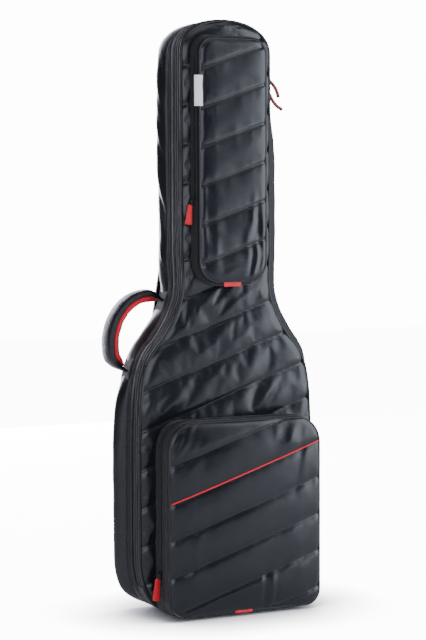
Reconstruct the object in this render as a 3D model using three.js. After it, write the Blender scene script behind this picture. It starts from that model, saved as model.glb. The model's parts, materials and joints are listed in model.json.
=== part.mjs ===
// Padded gig bag for an electric guitar, standing upright and zipped shut.
// Millimetres: X runs to the right, Y to the back and Z up, from the middle of the base.
// The lid opens like a book on the bag's right side. Both pockets are on the lid.
import * as THREE from "three";

// Driving dimensions.
const fit = 0.3; // gap between pieces that touch
const bagHeight = 1060;
const bodyDepth = 96;
const lidDepth = 32; // from the front face back to the main zip
const hipHalfWidth = 174.5;
const neckHalfWidth = 90.5;
const baseHalfWidth = 72; // flat stretch that the bag stands on
const hipLow = 110; // the straight side of the lower part starts here
const hipHigh = 300; // and ends here
const neckLow = 640; // the straight side of the neck starts here
const neckHigh = 1000; // and ends here
const panelFoam = 10;
const gussetWall = 6;
const liningSheet = 1.2;
const pipingRadius = 3;
const guardSheet = 2;
const guardHeight = 58;
const zipTapeWidth = 6;
const zipTapeSheet = 1.5;
const webbingSheet = 2;

// Upper pocket, on the neck.
const upperPocketDepth = 28;
const upperPocketHalfWidth = 68;
const upperPocketLow = 592;
const upperPocketHigh = 1026;
const upperPocketLowRadius = 40;
const upperPocketHighRadius = 28;
const upperPocketDraft = 6; // how much wider the pocket is where it is sewn on
const upperZipLow = 726;
const upperZipHigh = 988;

// Lower pocket, on the body.
const lowerPocketDepth = 58;
const lowerPocketHalfWidth = 152;
const lowerPocketMiddle = 8; // the pocket sits this far to the right
const lowerPocketLow = 6;
const lowerPocketHigh = 352;
const lowerPocketLowRadius = 30;
const lowerPocketHighRadius = 50;
const lowerZipDepth = 26; // from the lid's face to the pocket's zip
const lowerZipLow = 62;
const pocketWall = 5;
const pocketFoam = 8;
const pocketPipingRadius = 2.5;

// Where the driving dimensions put the main planes.
const front = -bodyDepth / 2;
const back = bodyDepth / 2;
const zipPlane = front + lidDepth;
const baseLevel = guardSheet + fit;
const upperFront = front - upperPocketDepth;
const upperZipPlane = front - upperPocketDepth / 2;
const lowerFront = front - lowerPocketDepth;
const lowerZipPlane = front - lowerZipDepth;

const nylon = { color: 0x17181c, roughness: 0.42, metalness: 0 };
const ribbedTape = { color: 0x101114, roughness: 0.75, metalness: 0 };
const foamLining = { color: 0x2b2c31, roughness: 0.9, metalness: 0 };
const rubber = { color: 0x0e0e10, roughness: 0.6, metalness: 0 };
const redTrim = { color: 0xb8141f, roughness: 0.55, metalness: 0 };
const whiteLabel = { color: 0xf2f2f0, roughness: 0.7, metalness: 0 };
const blackMetal = { color: 0x2a2b2e, roughness: 0.35, metalness: 0.9 };

const bag = new THREE.Group();

// Adds one named piece to its group, in its own material.
function addPiece(group, name, geometry, finish) {
  const mesh = new THREE.Mesh(geometry, new THREE.MeshStandardMaterial(finish));
  mesh.name = name;
  group.add(mesh);
  return mesh;
}

// Moves every point of an outline outwards. The outline runs anticlockwise seen from the front.
function outset(points, distance, closed = true) {
  const count = points.length;
  return points.map((point, i) => {
    const before = closed || i > 0 ? points[(i + count - 1) % count] : point;
    const after = closed || i < count - 1 ? points[(i + 1) % count] : point;
    const into = point.clone().sub(before);
    const out = after.clone().sub(point);
    const first = (into.length() > 0 ? into : out).clone().normalize();
    const second = (out.length() > 0 ? out : into).clone().normalize();
    const bend = 1 + first.dot(second);
    return new THREE.Vector2(
      point.x + (distance * (first.y + second.y)) / bend,
      point.y - (distance * (first.x + second.x)) / bend,
    );
  });
}

// Sweeps a section of [outwards, depth] corners round an outline in the X-Z plane.
function sweep(points, section, closed = true) {
  const rails = section.map(([outwards]) => outset(points, outwards, closed));
  const corners = section.length;
  const steps = closed ? points.length : points.length - 1;
  const places = [];
  const faces = [];
  points.forEach((_, i) => {
    section.forEach(([, depth], j) => places.push(rails[j][i].x, depth, rails[j][i].y));
  });
  for (let i = 0; i < steps; i++) {
    const here = i * corners;
    const next = ((i + 1) % points.length) * corners;
    for (let j = 0; j < corners; j++) {
      const k = (j + 1) % corners;
      faces.push(here + j, next + k, here + k, here + j, next + j, next + k);
    }
  }
  if (!closed) {
    const last = (points.length - 1) * corners;
    for (let j = 1; j < corners - 1; j++) {
      faces.push(0, j, j + 1, last, last + j + 1, last + j);
    }
  }
  const geometry = new THREE.BufferGeometry();
  geometry.setAttribute("position", new THREE.Float32BufferAttribute(places, 3));
  geometry.setIndex(faces);
  return geometry;
}

// A wall between two depths, its outer face on the outline plus an amount that may taper.
function wall(points, nearDepth, farDepth, thickness, nearOut = 0, farOut = 0, closed = true) {
  const section = [
    [nearOut, nearDepth],
    [nearOut - thickness, nearDepth],
    [farOut - thickness, farDepth],
    [farOut, farDepth],
  ];
  return sweep(points, section, closed);
}

// A corded edge, flush with the outline and with the face at the given depth.
function cordedEdge(points, radius, middleDepth) {
  const sides = 6;
  const section = Array.from({ length: sides }, (_, i) => {
    const angle = (-2 * Math.PI * i) / sides;
    return [radius * (Math.cos(angle) - 1), middleDepth + radius * Math.sin(angle)];
  });
  return sweep(points, section);
}

// A flat sheet with the given outline, from its front face at a depth.
function plate(points, nearDepth, thickness) {
  const geometry = new THREE.ExtrudeGeometry(new THREE.Shape(points), {
    depth: thickness,
    bevelEnabled: false,
  });
  return geometry.rotateX(Math.PI / 2).translate(0, nearDepth + thickness, 0);
}

// A strip with a centre line in the X-Z plane, so thick across it and so deep along Y.
function strip(centreLine, thickness, nearDepth, depth) {
  const outer = outset(centreLine, thickness / 2, false);
  const inner = outset(centreLine, -thickness / 2, false);
  return plate([...outer, ...inner.reverse()], nearDepth, depth);
}

function rectangle(left, right, low, high) {
  return [
    new THREE.Vector2(left, low),
    new THREE.Vector2(right, low),
    new THREE.Vector2(right, high),
    new THREE.Vector2(left, high),
  ];
}

const mirrored = (points) => points.map((point) => new THREE.Vector2(-point.x, point.y)).reverse();

// The bag's outline: flat base, round lower corners, straight hips, a waist and a straight neck.
const cornerHandleShares = [0.71, 0.36];
const shoulderShares = [
  [1, 0],
  [0.98, 0.156],
  [0.946, 0.294],
  [0.887, 0.388],
  [0.768, 0.471],
  [0.625, 0.524],
  [0.446, 0.574],
  [0.185, 0.676],
  [0.018, 0.779],
  [-0.024, 0.882],
  [0, 1],
];
const topHandleShares = [0.667, 0.497];

function lowerCorner() {
  const steps = 7;
  const curve = new THREE.CubicBezierCurve(
    new THREE.Vector2(baseHalfWidth, baseLevel),
    new THREE.Vector2(
      THREE.MathUtils.lerp(baseHalfWidth, hipHalfWidth, cornerHandleShares[0]),
      baseLevel,
    ),
    new THREE.Vector2(
      hipHalfWidth,
      THREE.MathUtils.lerp(baseLevel, hipLow, cornerHandleShares[1]),
    ),
    new THREE.Vector2(hipHalfWidth, hipLow),
  );
  return curve.getPoints(steps);
}

function shoulder() {
  const steps = 14;
  const curve = new THREE.SplineCurve(
    shoulderShares.map(
      ([across, up]) =>
        new THREE.Vector2(
          THREE.MathUtils.lerp(neckHalfWidth, hipHalfWidth, across),
          THREE.MathUtils.lerp(hipHigh, neckLow, up),
        ),
    ),
  );
  return curve.getPoints(steps);
}

function topCorner() {
  const steps = 7;
  const curve = new THREE.CubicBezierCurve(
    new THREE.Vector2(neckHalfWidth, neckHigh),
    new THREE.Vector2(
      neckHalfWidth,
      THREE.MathUtils.lerp(neckHigh, bagHeight, topHandleShares[0]),
    ),
    new THREE.Vector2(neckHalfWidth * topHandleShares[1], bagHeight),
    new THREE.Vector2(0, bagHeight),
  );
  return curve.getPoints(steps);
}

const rightCorner = lowerCorner();
const rightUpper = [...shoulder(), ...topCorner()];
const outline = [
  ...rightCorner,
  ...rightUpper,
  ...mirrored(rightUpper).slice(1),
  ...mirrored(rightCorner),
];

// The outline without its straight right side, where the lid is sewn on: the main zip's way.
const zipWay = [
  new THREE.Vector2(hipHalfWidth, hipHigh + fit),
  ...rightUpper.slice(1),
  ...mirrored(rightUpper).slice(1),
  ...mirrored(rightCorner),
  ...rightCorner.slice(0, -1),
  new THREE.Vector2(hipHalfWidth, hipLow - fit),
];

// A pocket's outline, anticlockwise from its lower right corner.
function pocketOutline(middle, halfWidth, low, high, lowRadius, highRadius) {
  const steps = 6;
  const points = [];
  const quarter = (centreX, centreZ, radius, start) => {
    for (let i = 0; i <= steps; i++) {
      const angle = start + (Math.PI / 2) * (i / steps);
      points.push(
        new THREE.Vector2(centreX + radius * Math.cos(angle), centreZ + radius * Math.sin(angle)),
      );
    }
  };
  quarter(middle + halfWidth - lowRadius, low + lowRadius, lowRadius, -Math.PI / 2);
  quarter(middle + halfWidth - highRadius, high - highRadius, highRadius, 0);
  quarter(middle - halfWidth + highRadius, high - highRadius, highRadius, Math.PI / 2);
  quarter(middle - halfWidth + lowRadius, low + lowRadius, lowRadius, Math.PI);
  return points;
}

// One side of a zip's tape, lying on the wall beside the zip's plane. The wall may taper.
function zipSide(way, plane, direction, taper = () => 0, width = zipTapeWidth) {
  const inner = plane + (direction * fit) / 2;
  const outer = plane + direction * width;
  const near = Math.min(inner, outer);
  const far = Math.max(inner, outer);
  const proud = fit + zipTapeSheet;
  return wall(way, near, far, zipTapeSheet, taper(near) + proud, taper(far) + proud, false);
}

// Body shell, back half.
function addBackShell(group) {
  const inside = outset(outline, -gussetWall - fit);
  const wallEnd = back - 2 * pipingRadius - fit;
  const lining = back - panelFoam - fit - liningSheet;
  addPiece(group, "back_panel", plate(inside, back - panelFoam, panelFoam), nylon);
  addPiece(group, "back_gusset", wall(outline, zipPlane + fit / 2, wallEnd, gussetWall), nylon);
  addPiece(group, "back_lining", plate(inside, lining, liningSheet), foamLining);
  addPiece(group, "back_piping", cordedEdge(outline, pipingRadius, back - pipingRadius), nylon);
  addPiece(group, "back_zip", zipSide(zipWay, zipPlane, 1), ribbedTape);
}

// The sewn strip on the straight right side that the lid turns on.
function addHingeStrip(group) {
  const side = [
    new THREE.Vector2(hipHalfWidth, hipLow),
    new THREE.Vector2(hipHalfWidth, hipHigh),
  ];
  const width = 2 * zipTapeWidth;
  addPiece(group, "hinge_strip", zipSide(side, zipPlane, 1, () => 0, width), nylon);
}

// The wear guard wraps the base and the lower corners up to its own height.
function guardWay() {
  const corner = rightCorner.filter((point) => point.y < guardHeight);
  return [...mirrored(corner), ...corner];
}

function addGuards(backGroup, lidGroup) {
  const way = guardWay();
  const clear = zipTapeWidth + fit;
  const outer = fit + guardSheet;
  const backNear = zipPlane + clear;
  const backFar = back - fit;
  const lidNear = front + fit;
  const lidFar = zipPlane - clear;
  const backGuard = wall(way, backNear, backFar, guardSheet, outer, outer, false);
  const lidGuard = wall(way, lidNear, lidFar, guardSheet, outer, outer, false);
  addPiece(backGroup, "base_guard", backGuard, rubber);
  addPiece(lidGroup, "lid_guard", lidGuard, rubber);
}

// Inside the back half: a cradle for the guitar's neck with its strap, and a bumper at the tail.
const neckRestHalfWidth = 72;
const neckRestDepth = 34;
const neckRestLow = 800;
const neckRestHigh = 856;
const neckGrooveHalfWidth = 30;
const neckGrooveDepth = 16;
const neckStrapWidth = 26;
const bumperHalfWidth = 66;
const bumperHeight = 32;

function addNeckRest(group) {
  const seat = back - panelFoam - liningSheet - 2 * fit;
  const face = seat - neckRestDepth;
  const groove = face + neckGrooveDepth;
  const profile = new THREE.Shape([
    new THREE.Vector2(-neckRestHalfWidth, face),
    new THREE.Vector2(-neckGrooveHalfWidth, face),
    new THREE.Vector2(-neckGrooveHalfWidth, groove),
    new THREE.Vector2(neckGrooveHalfWidth, groove),
    new THREE.Vector2(neckGrooveHalfWidth, face),
    new THREE.Vector2(neckRestHalfWidth, face),
    new THREE.Vector2(neckRestHalfWidth, seat),
    new THREE.Vector2(-neckRestHalfWidth, seat),
  ]);
  const length = neckRestHigh - neckRestLow;
  const rest = new THREE.ExtrudeGeometry(profile, { depth: length, bevelEnabled: false });
  addPiece(group, "neck_rest", rest, foamLining).position.z = neckRestLow;
  const middle = (neckRestLow + neckRestHigh) / 2;
  const strap = rectangle(
    -neckRestHalfWidth,
    neckRestHalfWidth,
    middle - neckStrapWidth / 2,
    middle + neckStrapWidth / 2,
  );
  const strapFace = face - fit - webbingSheet;
  addPiece(group, "neck_strap", plate(strap, strapFace, webbingSheet), ribbedTape);
}

function addTailBumper(group) {
  const low = baseLevel + gussetWall + fit;
  const near = zipPlane + zipTapeWidth;
  const depth = back - panelFoam - liningSheet - 2 * fit - near;
  const block = rectangle(-bumperHalfWidth, bumperHalfWidth, low, low + bumperHeight);
  addPiece(group, "tail_bumper", plate(block, near, depth), foamLining);
}

// Shoulder straps, stowed flat on the back: pads, buckles, webbing and their sewn patches.
const padWidth = 62;
const padThickness = 12;
const padTop = 700;
const padBottom = 352;
const padTopOut = 40;
const padBottomOut = 92;
const padBowOut = 76;
const buckleWidth = 34;
const buckleHeight = 30;
const buckleThickness = 5;
const strapWebbingWidth = 25;
const webbingBottom = 158;
const webbingBottomOut = 118;
const yokeHalfWidth = 78;
const yokeHeight = 56;
const yokeSheet = 3;
const patchWidth = 52;
const patchHeight = 46;

function padCentreLine(side) {
  const steps = 8;
  const curve = new THREE.QuadraticBezierCurve(
    new THREE.Vector2(side * padTopOut, padTop),
    new THREE.Vector2(side * padBowOut, (padTop + padBottom) / 2),
    new THREE.Vector2(side * padBottomOut, padBottom),
  );
  return curve.getPoints(steps);
}

function addStrap(group, hand, side) {
  const surface = back + fit;
  const pad = strip(padCentreLine(side), padWidth, surface, padThickness);
  addPiece(group, `strap_pad_${hand}`, pad, nylon);
  const webbingTop = padBottom - fit - webbingSheet;
  const start = new THREE.Vector2(side * padBottomOut, webbingTop);
  const end = new THREE.Vector2(side * webbingBottomOut, webbingBottom);
  const webbing = strip([start, end], strapWebbingWidth, surface, webbingSheet);
  addPiece(group, `webbing_${hand}`, webbing, ribbedTape);
  const buckleMiddle = start.clone().lerp(end, buckleHeight / (webbingTop - webbingBottom));
  const buckle = rectangle(
    buckleMiddle.x - buckleWidth / 2,
    buckleMiddle.x + buckleWidth / 2,
    buckleMiddle.y - buckleHeight / 2,
    buckleMiddle.y + buckleHeight / 2,
  );
  const buckleFace = surface + webbingSheet + fit;
  addPiece(group, `buckle_${hand}`, plate(buckle, buckleFace, buckleThickness), rubber);
  const patchTop = webbingBottom - fit - webbingSheet;
  const patch = rectangle(
    end.x - patchWidth / 2,
    end.x + patchWidth / 2,
    patchTop - patchHeight,
    patchTop,
  );
  addPiece(group, `webbing_patch_${hand}`, plate(patch, surface, webbingSheet), nylon);
}

function addStraps(group) {
  const yokeLow = padTop + padWidth / 4;
  const yoke = rectangle(-yokeHalfWidth, yokeHalfWidth, yokeLow, yokeLow + yokeHeight);
  addPiece(group, "strap_yoke", plate(yoke, back + fit, yokeSheet), nylon);
  addStrap(group, "left", -1);
  addStrap(group, "right", 1);
}

// Carry handle on the left, over the waist: cover, pad, and the webbing tabs it turns on.
const handleTopLevel = 558;
const handleBottomLevel = 438;
const handleFootGap = 1.2; // room between the tabs' round ends and their patches
const handleReach = 64;
const handleMiddleDepth = 24;
const handleCoverSheet = 7;
const handleCoverWidth = 40;
const handlePadThickness = 9;
const handlePadWidth = 34;
const handleTabWidth = 20;
const handleTabLength = 16;
const handlePatchLength = 38;
const handlePatchWidth = 36;
const handleArchShares = [
  [0.03, 0.52],
  [0.13, 0.76],
  [0.27, 0.93],
  [0.44, 1],
  [0.58, 0.985],
  [0.74, 0.89],
  [0.87, 0.74],
  [0.97, 0.56],
];

// The left side of the outline between two levels, anticlockwise, so from the top down.
function leftStretch(low, high) {
  const left = outline.filter((point) => point.x < 0);
  const at = (level) => {
    const next = left.findIndex((point) => point.y <= level);
    const above = left[next - 1];
    const share = (above.y - level) / (above.y - left[next].y);
    return above.clone().lerp(left[next], share);
  };
  return [at(high), ...left.filter((point) => point.y < high && point.y > low), at(low)];
}

// Where a tab of the handle meets its patch.
function handleFoot(level) {
  const stretch = leftStretch(level - handlePatchLength / 2, level + handlePatchLength / 2);
  const raised = outset(stretch, fit + webbingSheet + handleFootGap, false);
  const next = raised.findIndex((point) => point.y <= level);
  const share = (raised[next - 1].y - level) / (raised[next - 1].y - raised[next].y);
  return raised[next - 1].clone().lerp(raised[next], share);
}

// The handle's arch in the X-Z plane, given along and out from the line between its two tabs.
const handleTop = handleFoot(handleTopLevel);
const handleBottom = handleFoot(handleBottomLevel);
const handleChord = handleBottom.clone().sub(handleTop);
const handleAlong = handleChord.clone().normalize();
const handleOut = new THREE.Vector2(handleAlong.y, -handleAlong.x);

function handlePoint(alongShare, outDistance) {
  return handleTop
    .clone()
    .addScaledVector(handleChord, alongShare)
    .addScaledVector(handleOut, outDistance);
}

function handleArch(inwards) {
  const steps = 18;
  const start = handleTabLength + 2 * fit;
  const straight = handleTabLength + handleCoverSheet;
  const curve = new THREE.SplineCurve([
    handlePoint(0, start),
    handlePoint(0, straight),
    ...handleArchShares.map(([along, out]) => handlePoint(along, out * handleReach)),
    handlePoint(1, straight),
    handlePoint(1, start),
  ]);
  return outset(curve.getPoints(steps), -inwards, false);
}

function addHandle(group) {
  const coverFront = handleMiddleDepth - handleCoverWidth / 2;
  const padFront = handleMiddleDepth - handlePadWidth / 2;
  const padMiddle = (handleCoverSheet + handlePadThickness) / 2 + fit;
  const padLine = handleArch(padMiddle).slice(1, -1);
  const cover = strip(handleArch(0), handleCoverSheet, coverFront, handleCoverWidth);
  const pad = strip(padLine, handlePadThickness, padFront, handlePadWidth);
  addPiece(group, "handle_cover", cover, nylon);
  addPiece(group, "handle_pad", pad, redTrim);
}

// A webbing tab between the handle and its patch, round at the end that it turns on.
function addHandleTab(group, name, alongShare) {
  const radius = handleTabWidth / 2;
  const shape = new THREE.Shape();
  shape.moveTo(-radius, handleTabLength);
  shape.lineTo(-radius, radius);
  shape.absarc(0, radius, radius, Math.PI, 2 * Math.PI, false);
  shape.lineTo(radius, handleTabLength);
  shape.closePath();
  const steps = 5;
  const tab = new THREE.ExtrudeGeometry(shape, {
    depth: handleCoverSheet,
    bevelEnabled: false,
    curveSegments: steps,
  });
  const across = new THREE.Vector3(0, 1, 0);
  const out = new THREE.Vector3(handleOut.x, 0, handleOut.y);
  const along = across.clone().cross(out);
  const mesh = addPiece(group, name, tab, nylon);
  const foot = handlePoint(alongShare, 0);
  mesh.setRotationFromMatrix(new THREE.Matrix4().makeBasis(across, out, along));
  mesh.position.set(foot.x, handleMiddleDepth, foot.y);
  mesh.position.addScaledVector(along, -handleCoverSheet / 2);
}

// The patch sewn flat on the gusset under each of the handle's tabs.
function addHandlePatch(group, name, level) {
  const way = leftStretch(level - handlePatchLength / 2, level + handlePatchLength / 2);
  const near = handleMiddleDepth - handlePatchWidth / 2;
  const far = handleMiddleDepth + handlePatchWidth / 2;
  const proud = fit + webbingSheet;
  addPiece(group, name, wall(way, near, far, webbingSheet, proud, proud, false), nylon);
}

// Lid: padded front panel, front half of the gusset, lining, corded edge and half of the zip.
function addLid(group) {
  const inside = outset(outline, -gussetWall - fit);
  const wallStart = front + 2 * pipingRadius + fit;
  const wallEnd = zipPlane - fit / 2;
  const lining = front + panelFoam + fit;
  addPiece(group, "lid_panel", plate(inside, front, panelFoam), nylon);
  addPiece(group, "lid_gusset", wall(outline, wallStart, wallEnd, gussetWall), nylon);
  addPiece(group, "lid_lining", plate(inside, lining, liningSheet), foamLining);
  addPiece(group, "lid_piping", cordedEdge(outline, pipingRadius, front + pipingRadius), nylon);
  addPiece(group, "lid_zip", zipSide(zipWay, zipPlane, -1), ribbedTape);
}

// Small red ribbon sewn into the bottom seam of a pocket's front.
const ribbonWidth = 34;
const ribbonHeight = 8;
const ribbonSheet = 1.5;

function ribbonTab(middle, low, face) {
  const shape = rectangle(middle - ribbonWidth / 2, middle + ribbonWidth / 2, low, low + ribbonHeight);
  return plate(shape, face - fit - ribbonSheet, ribbonSheet);
}

// Upper pocket: the wall sewn to the lid, and the front that swings out when it is unzipped.
const labelWidth = 16;
const labelHeight = 54;
const labelLow = 904;
const labelSheet = 1;
const labelOverhang = 9;
const upperRibbonMiddle = -3;

const upperTaper = (depth) => (upperPocketDraft * (depth - upperFront)) / upperPocketDepth;

function addUpperPocket(lidGroup, flapGroup) {
  const edge = pocketOutline(
    0,
    upperPocketHalfWidth,
    upperPocketLow,
    upperPocketHigh,
    upperPocketLowRadius,
    upperPocketHighRadius,
  );
  const zipWayLeft = [
    new THREE.Vector2(-upperPocketHalfWidth, upperZipHigh),
    new THREE.Vector2(-upperPocketHalfWidth, upperZipLow),
  ];
  const draftedWall = (near, far) =>
    wall(edge, near, far, pocketWall, upperTaper(near), upperTaper(far));
  const piping = cordedEdge(edge, pocketPipingRadius, upperFront + pocketPipingRadius);
  const panel = plate(outset(edge, -pocketWall - fit), upperFront, pocketFoam);
  const wallStart = upperFront + 2 * pocketPipingRadius + fit;
  const baseWall = draftedWall(upperZipPlane + fit / 2, front - fit);
  const frontWall = draftedWall(wallStart, upperZipPlane - fit / 2);
  const baseZip = zipSide(zipWayLeft, upperZipPlane, 1, upperTaper);
  const flapZip = zipSide(zipWayLeft, upperZipPlane, -1, upperTaper);
  const label = rectangle(
    -upperPocketHalfWidth - labelOverhang,
    -upperPocketHalfWidth - labelOverhang + labelWidth,
    labelLow,
    labelLow + labelHeight,
  );
  const ribbonLow = upperPocketLow - (3 * ribbonHeight) / 4;
  addPiece(lidGroup, "upper_pocket_base", baseWall, nylon);
  addPiece(lidGroup, "upper_zip_base", baseZip, ribbedTape);
  addPiece(flapGroup, "upper_pocket_wall", frontWall, nylon);
  addPiece(flapGroup, "upper_zip_front", flapZip, ribbedTape);
  addPiece(flapGroup, "upper_pocket_front", panel, nylon);
  addPiece(flapGroup, "upper_pocket_piping", piping, nylon);
  addPiece(flapGroup, "label", plate(label, upperFront - fit - labelSheet, labelSheet), whiteLabel);
  addPiece(flapGroup, "upper_ribbon", ribbonTab(upperRibbonMiddle, ribbonLow, upperFront), redTrim);
}

// Lower pocket: wall and floor sewn to the lid, and the front that folds down when unzipped.
const accentRadius = 1.6;
const accentLeftHigh = 209;
const accentRightHigh = 306;
const lowerRibbonMiddle = 2;

function addLowerPocket(lidGroup, flapGroup) {
  const edge = pocketOutline(
    lowerPocketMiddle,
    lowerPocketHalfWidth,
    lowerPocketLow,
    lowerPocketHigh,
    lowerPocketLowRadius,
    lowerPocketHighRadius,
  );
  const perCorner = edge.length / 4;
  const left = lowerPocketMiddle - lowerPocketHalfWidth;
  const right = lowerPocketMiddle + lowerPocketHalfWidth;
  const floorTop = lowerPocketLow + lowerPocketLowRadius + pocketWall;
  const overTheTop = (low) => [
    new THREE.Vector2(right, low),
    ...edge.slice(perCorner, 3 * perCorner),
    new THREE.Vector2(left, low),
  ];
  const underneath = [
    new THREE.Vector2(left, floorTop),
    ...edge.slice(3 * perCorner),
    ...edge.slice(0, perCorner),
    new THREE.Vector2(right, floorTop),
  ];
  const wallStart = lowerFront + 2 * pocketPipingRadius + fit;
  const wallEnd = lowerZipPlane - fit / 2;
  const flapWay = overTheTop(floorTop + fit);
  const zipWayRound = overTheTop(lowerZipLow);
  const piping = cordedEdge(edge, pocketPipingRadius, lowerFront + pocketPipingRadius);
  const panel = plate(outset(edge, -pocketWall - fit), lowerFront, pocketFoam);
  const baseWall = wall(edge, lowerZipPlane + fit / 2, front - fit, pocketWall);
  const floor = wall(underneath, wallStart, wallEnd, pocketWall, 0, 0, false);
  const frontWall = wall(flapWay, wallStart, wallEnd, pocketWall, 0, 0, false);
  addPiece(lidGroup, "lower_pocket_base", baseWall, nylon);
  addPiece(lidGroup, "lower_pocket_floor", floor, nylon);
  addPiece(lidGroup, "lower_zip_base", zipSide(zipWayRound, lowerZipPlane, 1), ribbedTape);
  addPiece(flapGroup, "lower_pocket_wall", frontWall, nylon);
  addPiece(flapGroup, "lower_zip_front", zipSide(zipWayRound, lowerZipPlane, -1), ribbedTape);
  addPiece(flapGroup, "lower_pocket_front", panel, nylon);
  addPiece(flapGroup, "lower_pocket_piping", piping, nylon);
  addPiece(flapGroup, "lower_ribbon", ribbonTab(lowerRibbonMiddle, lowerPocketLow, lowerFront), redTrim);
  addAccentPiping(flapGroup, left + pocketWall, right - pocketWall);
}

// Thin red piping laid slantwise across the lower pocket's front.
function addAccentPiping(group, left, right) {
  const sides = 8;
  const rise = accentRightHigh - accentLeftHigh;
  const length = Math.hypot(right - left, rise);
  const rod = new THREE.CylinderGeometry(accentRadius, accentRadius, length, sides);
  const mesh = addPiece(group, "accent_piping", rod, redTrim);
  rod.rotateZ(Math.PI / 2);
  mesh.rotation.y = -Math.atan2(rise, right - left);
  mesh.position.set(
    (left + right) / 2,
    lowerFront - fit - accentRadius,
    (accentLeftHigh + accentRightHigh) / 2,
  );
}

// Zip sliders. Each runs on its tape, and its bail and pull hang from it.
const sliderSheet = 2.6;
const sliderWidth = 10;
const sliderHeight = 14;
const sliderNoseShare = 0.6;
const bailRadius = 5;
const bailWireRadius = 0.8;
const bailLiftShare = 0.28;
const pullSheet = 2;
const mainSliderHigh = 963;
const mainSliderLow = 937;
const mainPullTilt = THREE.MathUtils.degToRad(33);
const mainPullOffset = 2.5;
const mainPullLength = 39;
const mainPullWidth = 6;
const upperSliderLevel = 738;
const upperPullLength = 34;
const lowerSliderLevel = 82;
const lowerPullLength = 38;
const pocketPullTilt = THREE.MathUtils.degToRad(4);
const pocketPullTopWidth = 8;
const pocketPullWidth = 14;

// side is 1 on a right wall and -1 on a left wall.
function addSlider(group, name, side, surface, plane, level) {
  const half = sliderWidth / 2;
  const tall = sliderHeight / 2;
  const nose = half * sliderNoseShare;
  const shape = new THREE.Shape([
    new THREE.Vector2(-nose, -tall),
    new THREE.Vector2(nose, -tall),
    new THREE.Vector2(half, 0),
    new THREE.Vector2(half, tall),
    new THREE.Vector2(-half, tall),
    new THREE.Vector2(-half, 0),
  ]);
  const body = new THREE.ExtrudeGeometry(shape, { depth: sliderSheet, bevelEnabled: false });
  body.rotateX(Math.PI / 2).rotateZ(Math.PI / 2);
  const mesh = addPiece(group, name, body, blackMetal);
  const inner = surface + fit;
  mesh.position.set(side > 0 ? inner : -inner - sliderSheet, plane, level);
}

// The pull hangs from its pivot on the slider's face, tilted outwards.
function addPull(group, name, pull) {
  const hanger = new THREE.Group();
  const surface = pull.surface + fit + sliderSheet + fit + bailWireRadius;
  const pivot = pull.level + sliderHeight * bailLiftShare;
  hanger.position.set(pull.side * surface, pull.plane, pivot);
  hanger.rotation.y = -pull.side * pull.tilt;
  group.add(hanger);
  const ringSteps = 14;
  const wireSides = 6;
  const ring = new THREE.TorusGeometry(bailRadius, bailWireRadius, wireSides, ringSteps);
  ring.rotateY(Math.PI / 2);
  addPiece(hanger, `${name}_bail`, ring, blackMetal).position.z = -bailRadius;
  const top = -2 * bailRadius - bailWireRadius - fit;
  const inward = -pull.topWidth / 4;
  const tab = [
    new THREE.Vector2(pull.side * inward, top),
    new THREE.Vector2(pull.side * inward, top - pull.length),
    new THREE.Vector2(pull.side * (inward + pull.width), top - pull.length),
    new THREE.Vector2(pull.side * (inward + pull.topWidth), top),
  ];
  addPiece(hanger, `${name}_pull`, plate(tab, -pullSheet / 2, pullSheet), redTrim);
}

function addMainSliders(groups) {
  const surface = neckHalfWidth + fit + zipTapeSheet;
  const pull = {
    side: 1,
    surface,
    tilt: mainPullTilt,
    length: mainPullLength,
    topWidth: mainPullWidth,
    width: mainPullWidth,
  };
  addSlider(groups.highSlider, "main_slider_high", 1, surface, zipPlane, mainSliderHigh);
  addSlider(groups.lowSlider, "main_slider_low", 1, surface, zipPlane, mainSliderLow);
  const highPull = { ...pull, plane: zipPlane + mainPullOffset, level: mainSliderHigh };
  const lowPull = { ...pull, plane: zipPlane - mainPullOffset, level: mainSliderLow };
  addPull(groups.highPull, "main_high", highPull);
  addPull(groups.lowPull, "main_low", lowPull);
}

function addPocketSliders(groups) {
  const pull = {
    side: -1,
    tilt: pocketPullTilt,
    topWidth: pocketPullTopWidth,
    width: pocketPullWidth,
  };
  const upper = {
    ...pull,
    surface: upperPocketHalfWidth + upperTaper(upperZipPlane + zipTapeWidth) + fit + zipTapeSheet,
    plane: upperZipPlane,
    level: upperSliderLevel,
    length: upperPullLength,
  };
  const lower = {
    ...pull,
    surface: lowerPocketHalfWidth - lowerPocketMiddle + fit + zipTapeSheet,
    plane: lowerZipPlane,
    level: lowerSliderLevel,
    length: lowerPullLength,
  };
  addSlider(groups.upperSlider, "upper_slider", -1, upper.surface, upper.plane, upper.level);
  addPull(groups.upperPull, "upper", upper);
  addSlider(groups.lowerSlider, "lower_slider", -1, lower.surface, lower.plane, lower.level);
  addPull(groups.lowerPull, "lower", lower);
}

// Put together: the back half carries the handle and the lid, and the lid carries the pockets.
function assemble() {
  const part = () => {
    const group = new THREE.Group();
    bag.add(group);
    return group;
  };
  const shell = part();
  const lid = part();
  const handle = part();
  addBackShell(shell);
  addHingeStrip(shell);
  addGuards(shell, lid);
  addNeckRest(shell);
  addTailBumper(shell);
  addStraps(shell);
  addHandlePatch(shell, "handle_patch_top", handleTopLevel);
  addHandlePatch(shell, "handle_patch_bottom", handleBottomLevel);
  addHandle(handle);
  addHandleTab(handle, "handle_tab_top", 0);
  addHandleTab(handle, "handle_tab_bottom", 1);
  addLid(lid);
  addUpperPocket(lid, part());
  addLowerPocket(lid, part());
  addMainSliders({ highSlider: part(), lowSlider: part(), highPull: part(), lowPull: part() });
  addPocketSliders({
    upperSlider: part(),
    upperPull: part(),
    lowerSlider: part(),
    lowerPull: part(),
  });
}

assemble();

export default bag;
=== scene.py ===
import json
import math

import bmesh
import bpy
import numpy as np
from mathutils import Matrix, Vector
from mathutils.kdtree import KDTree


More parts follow.
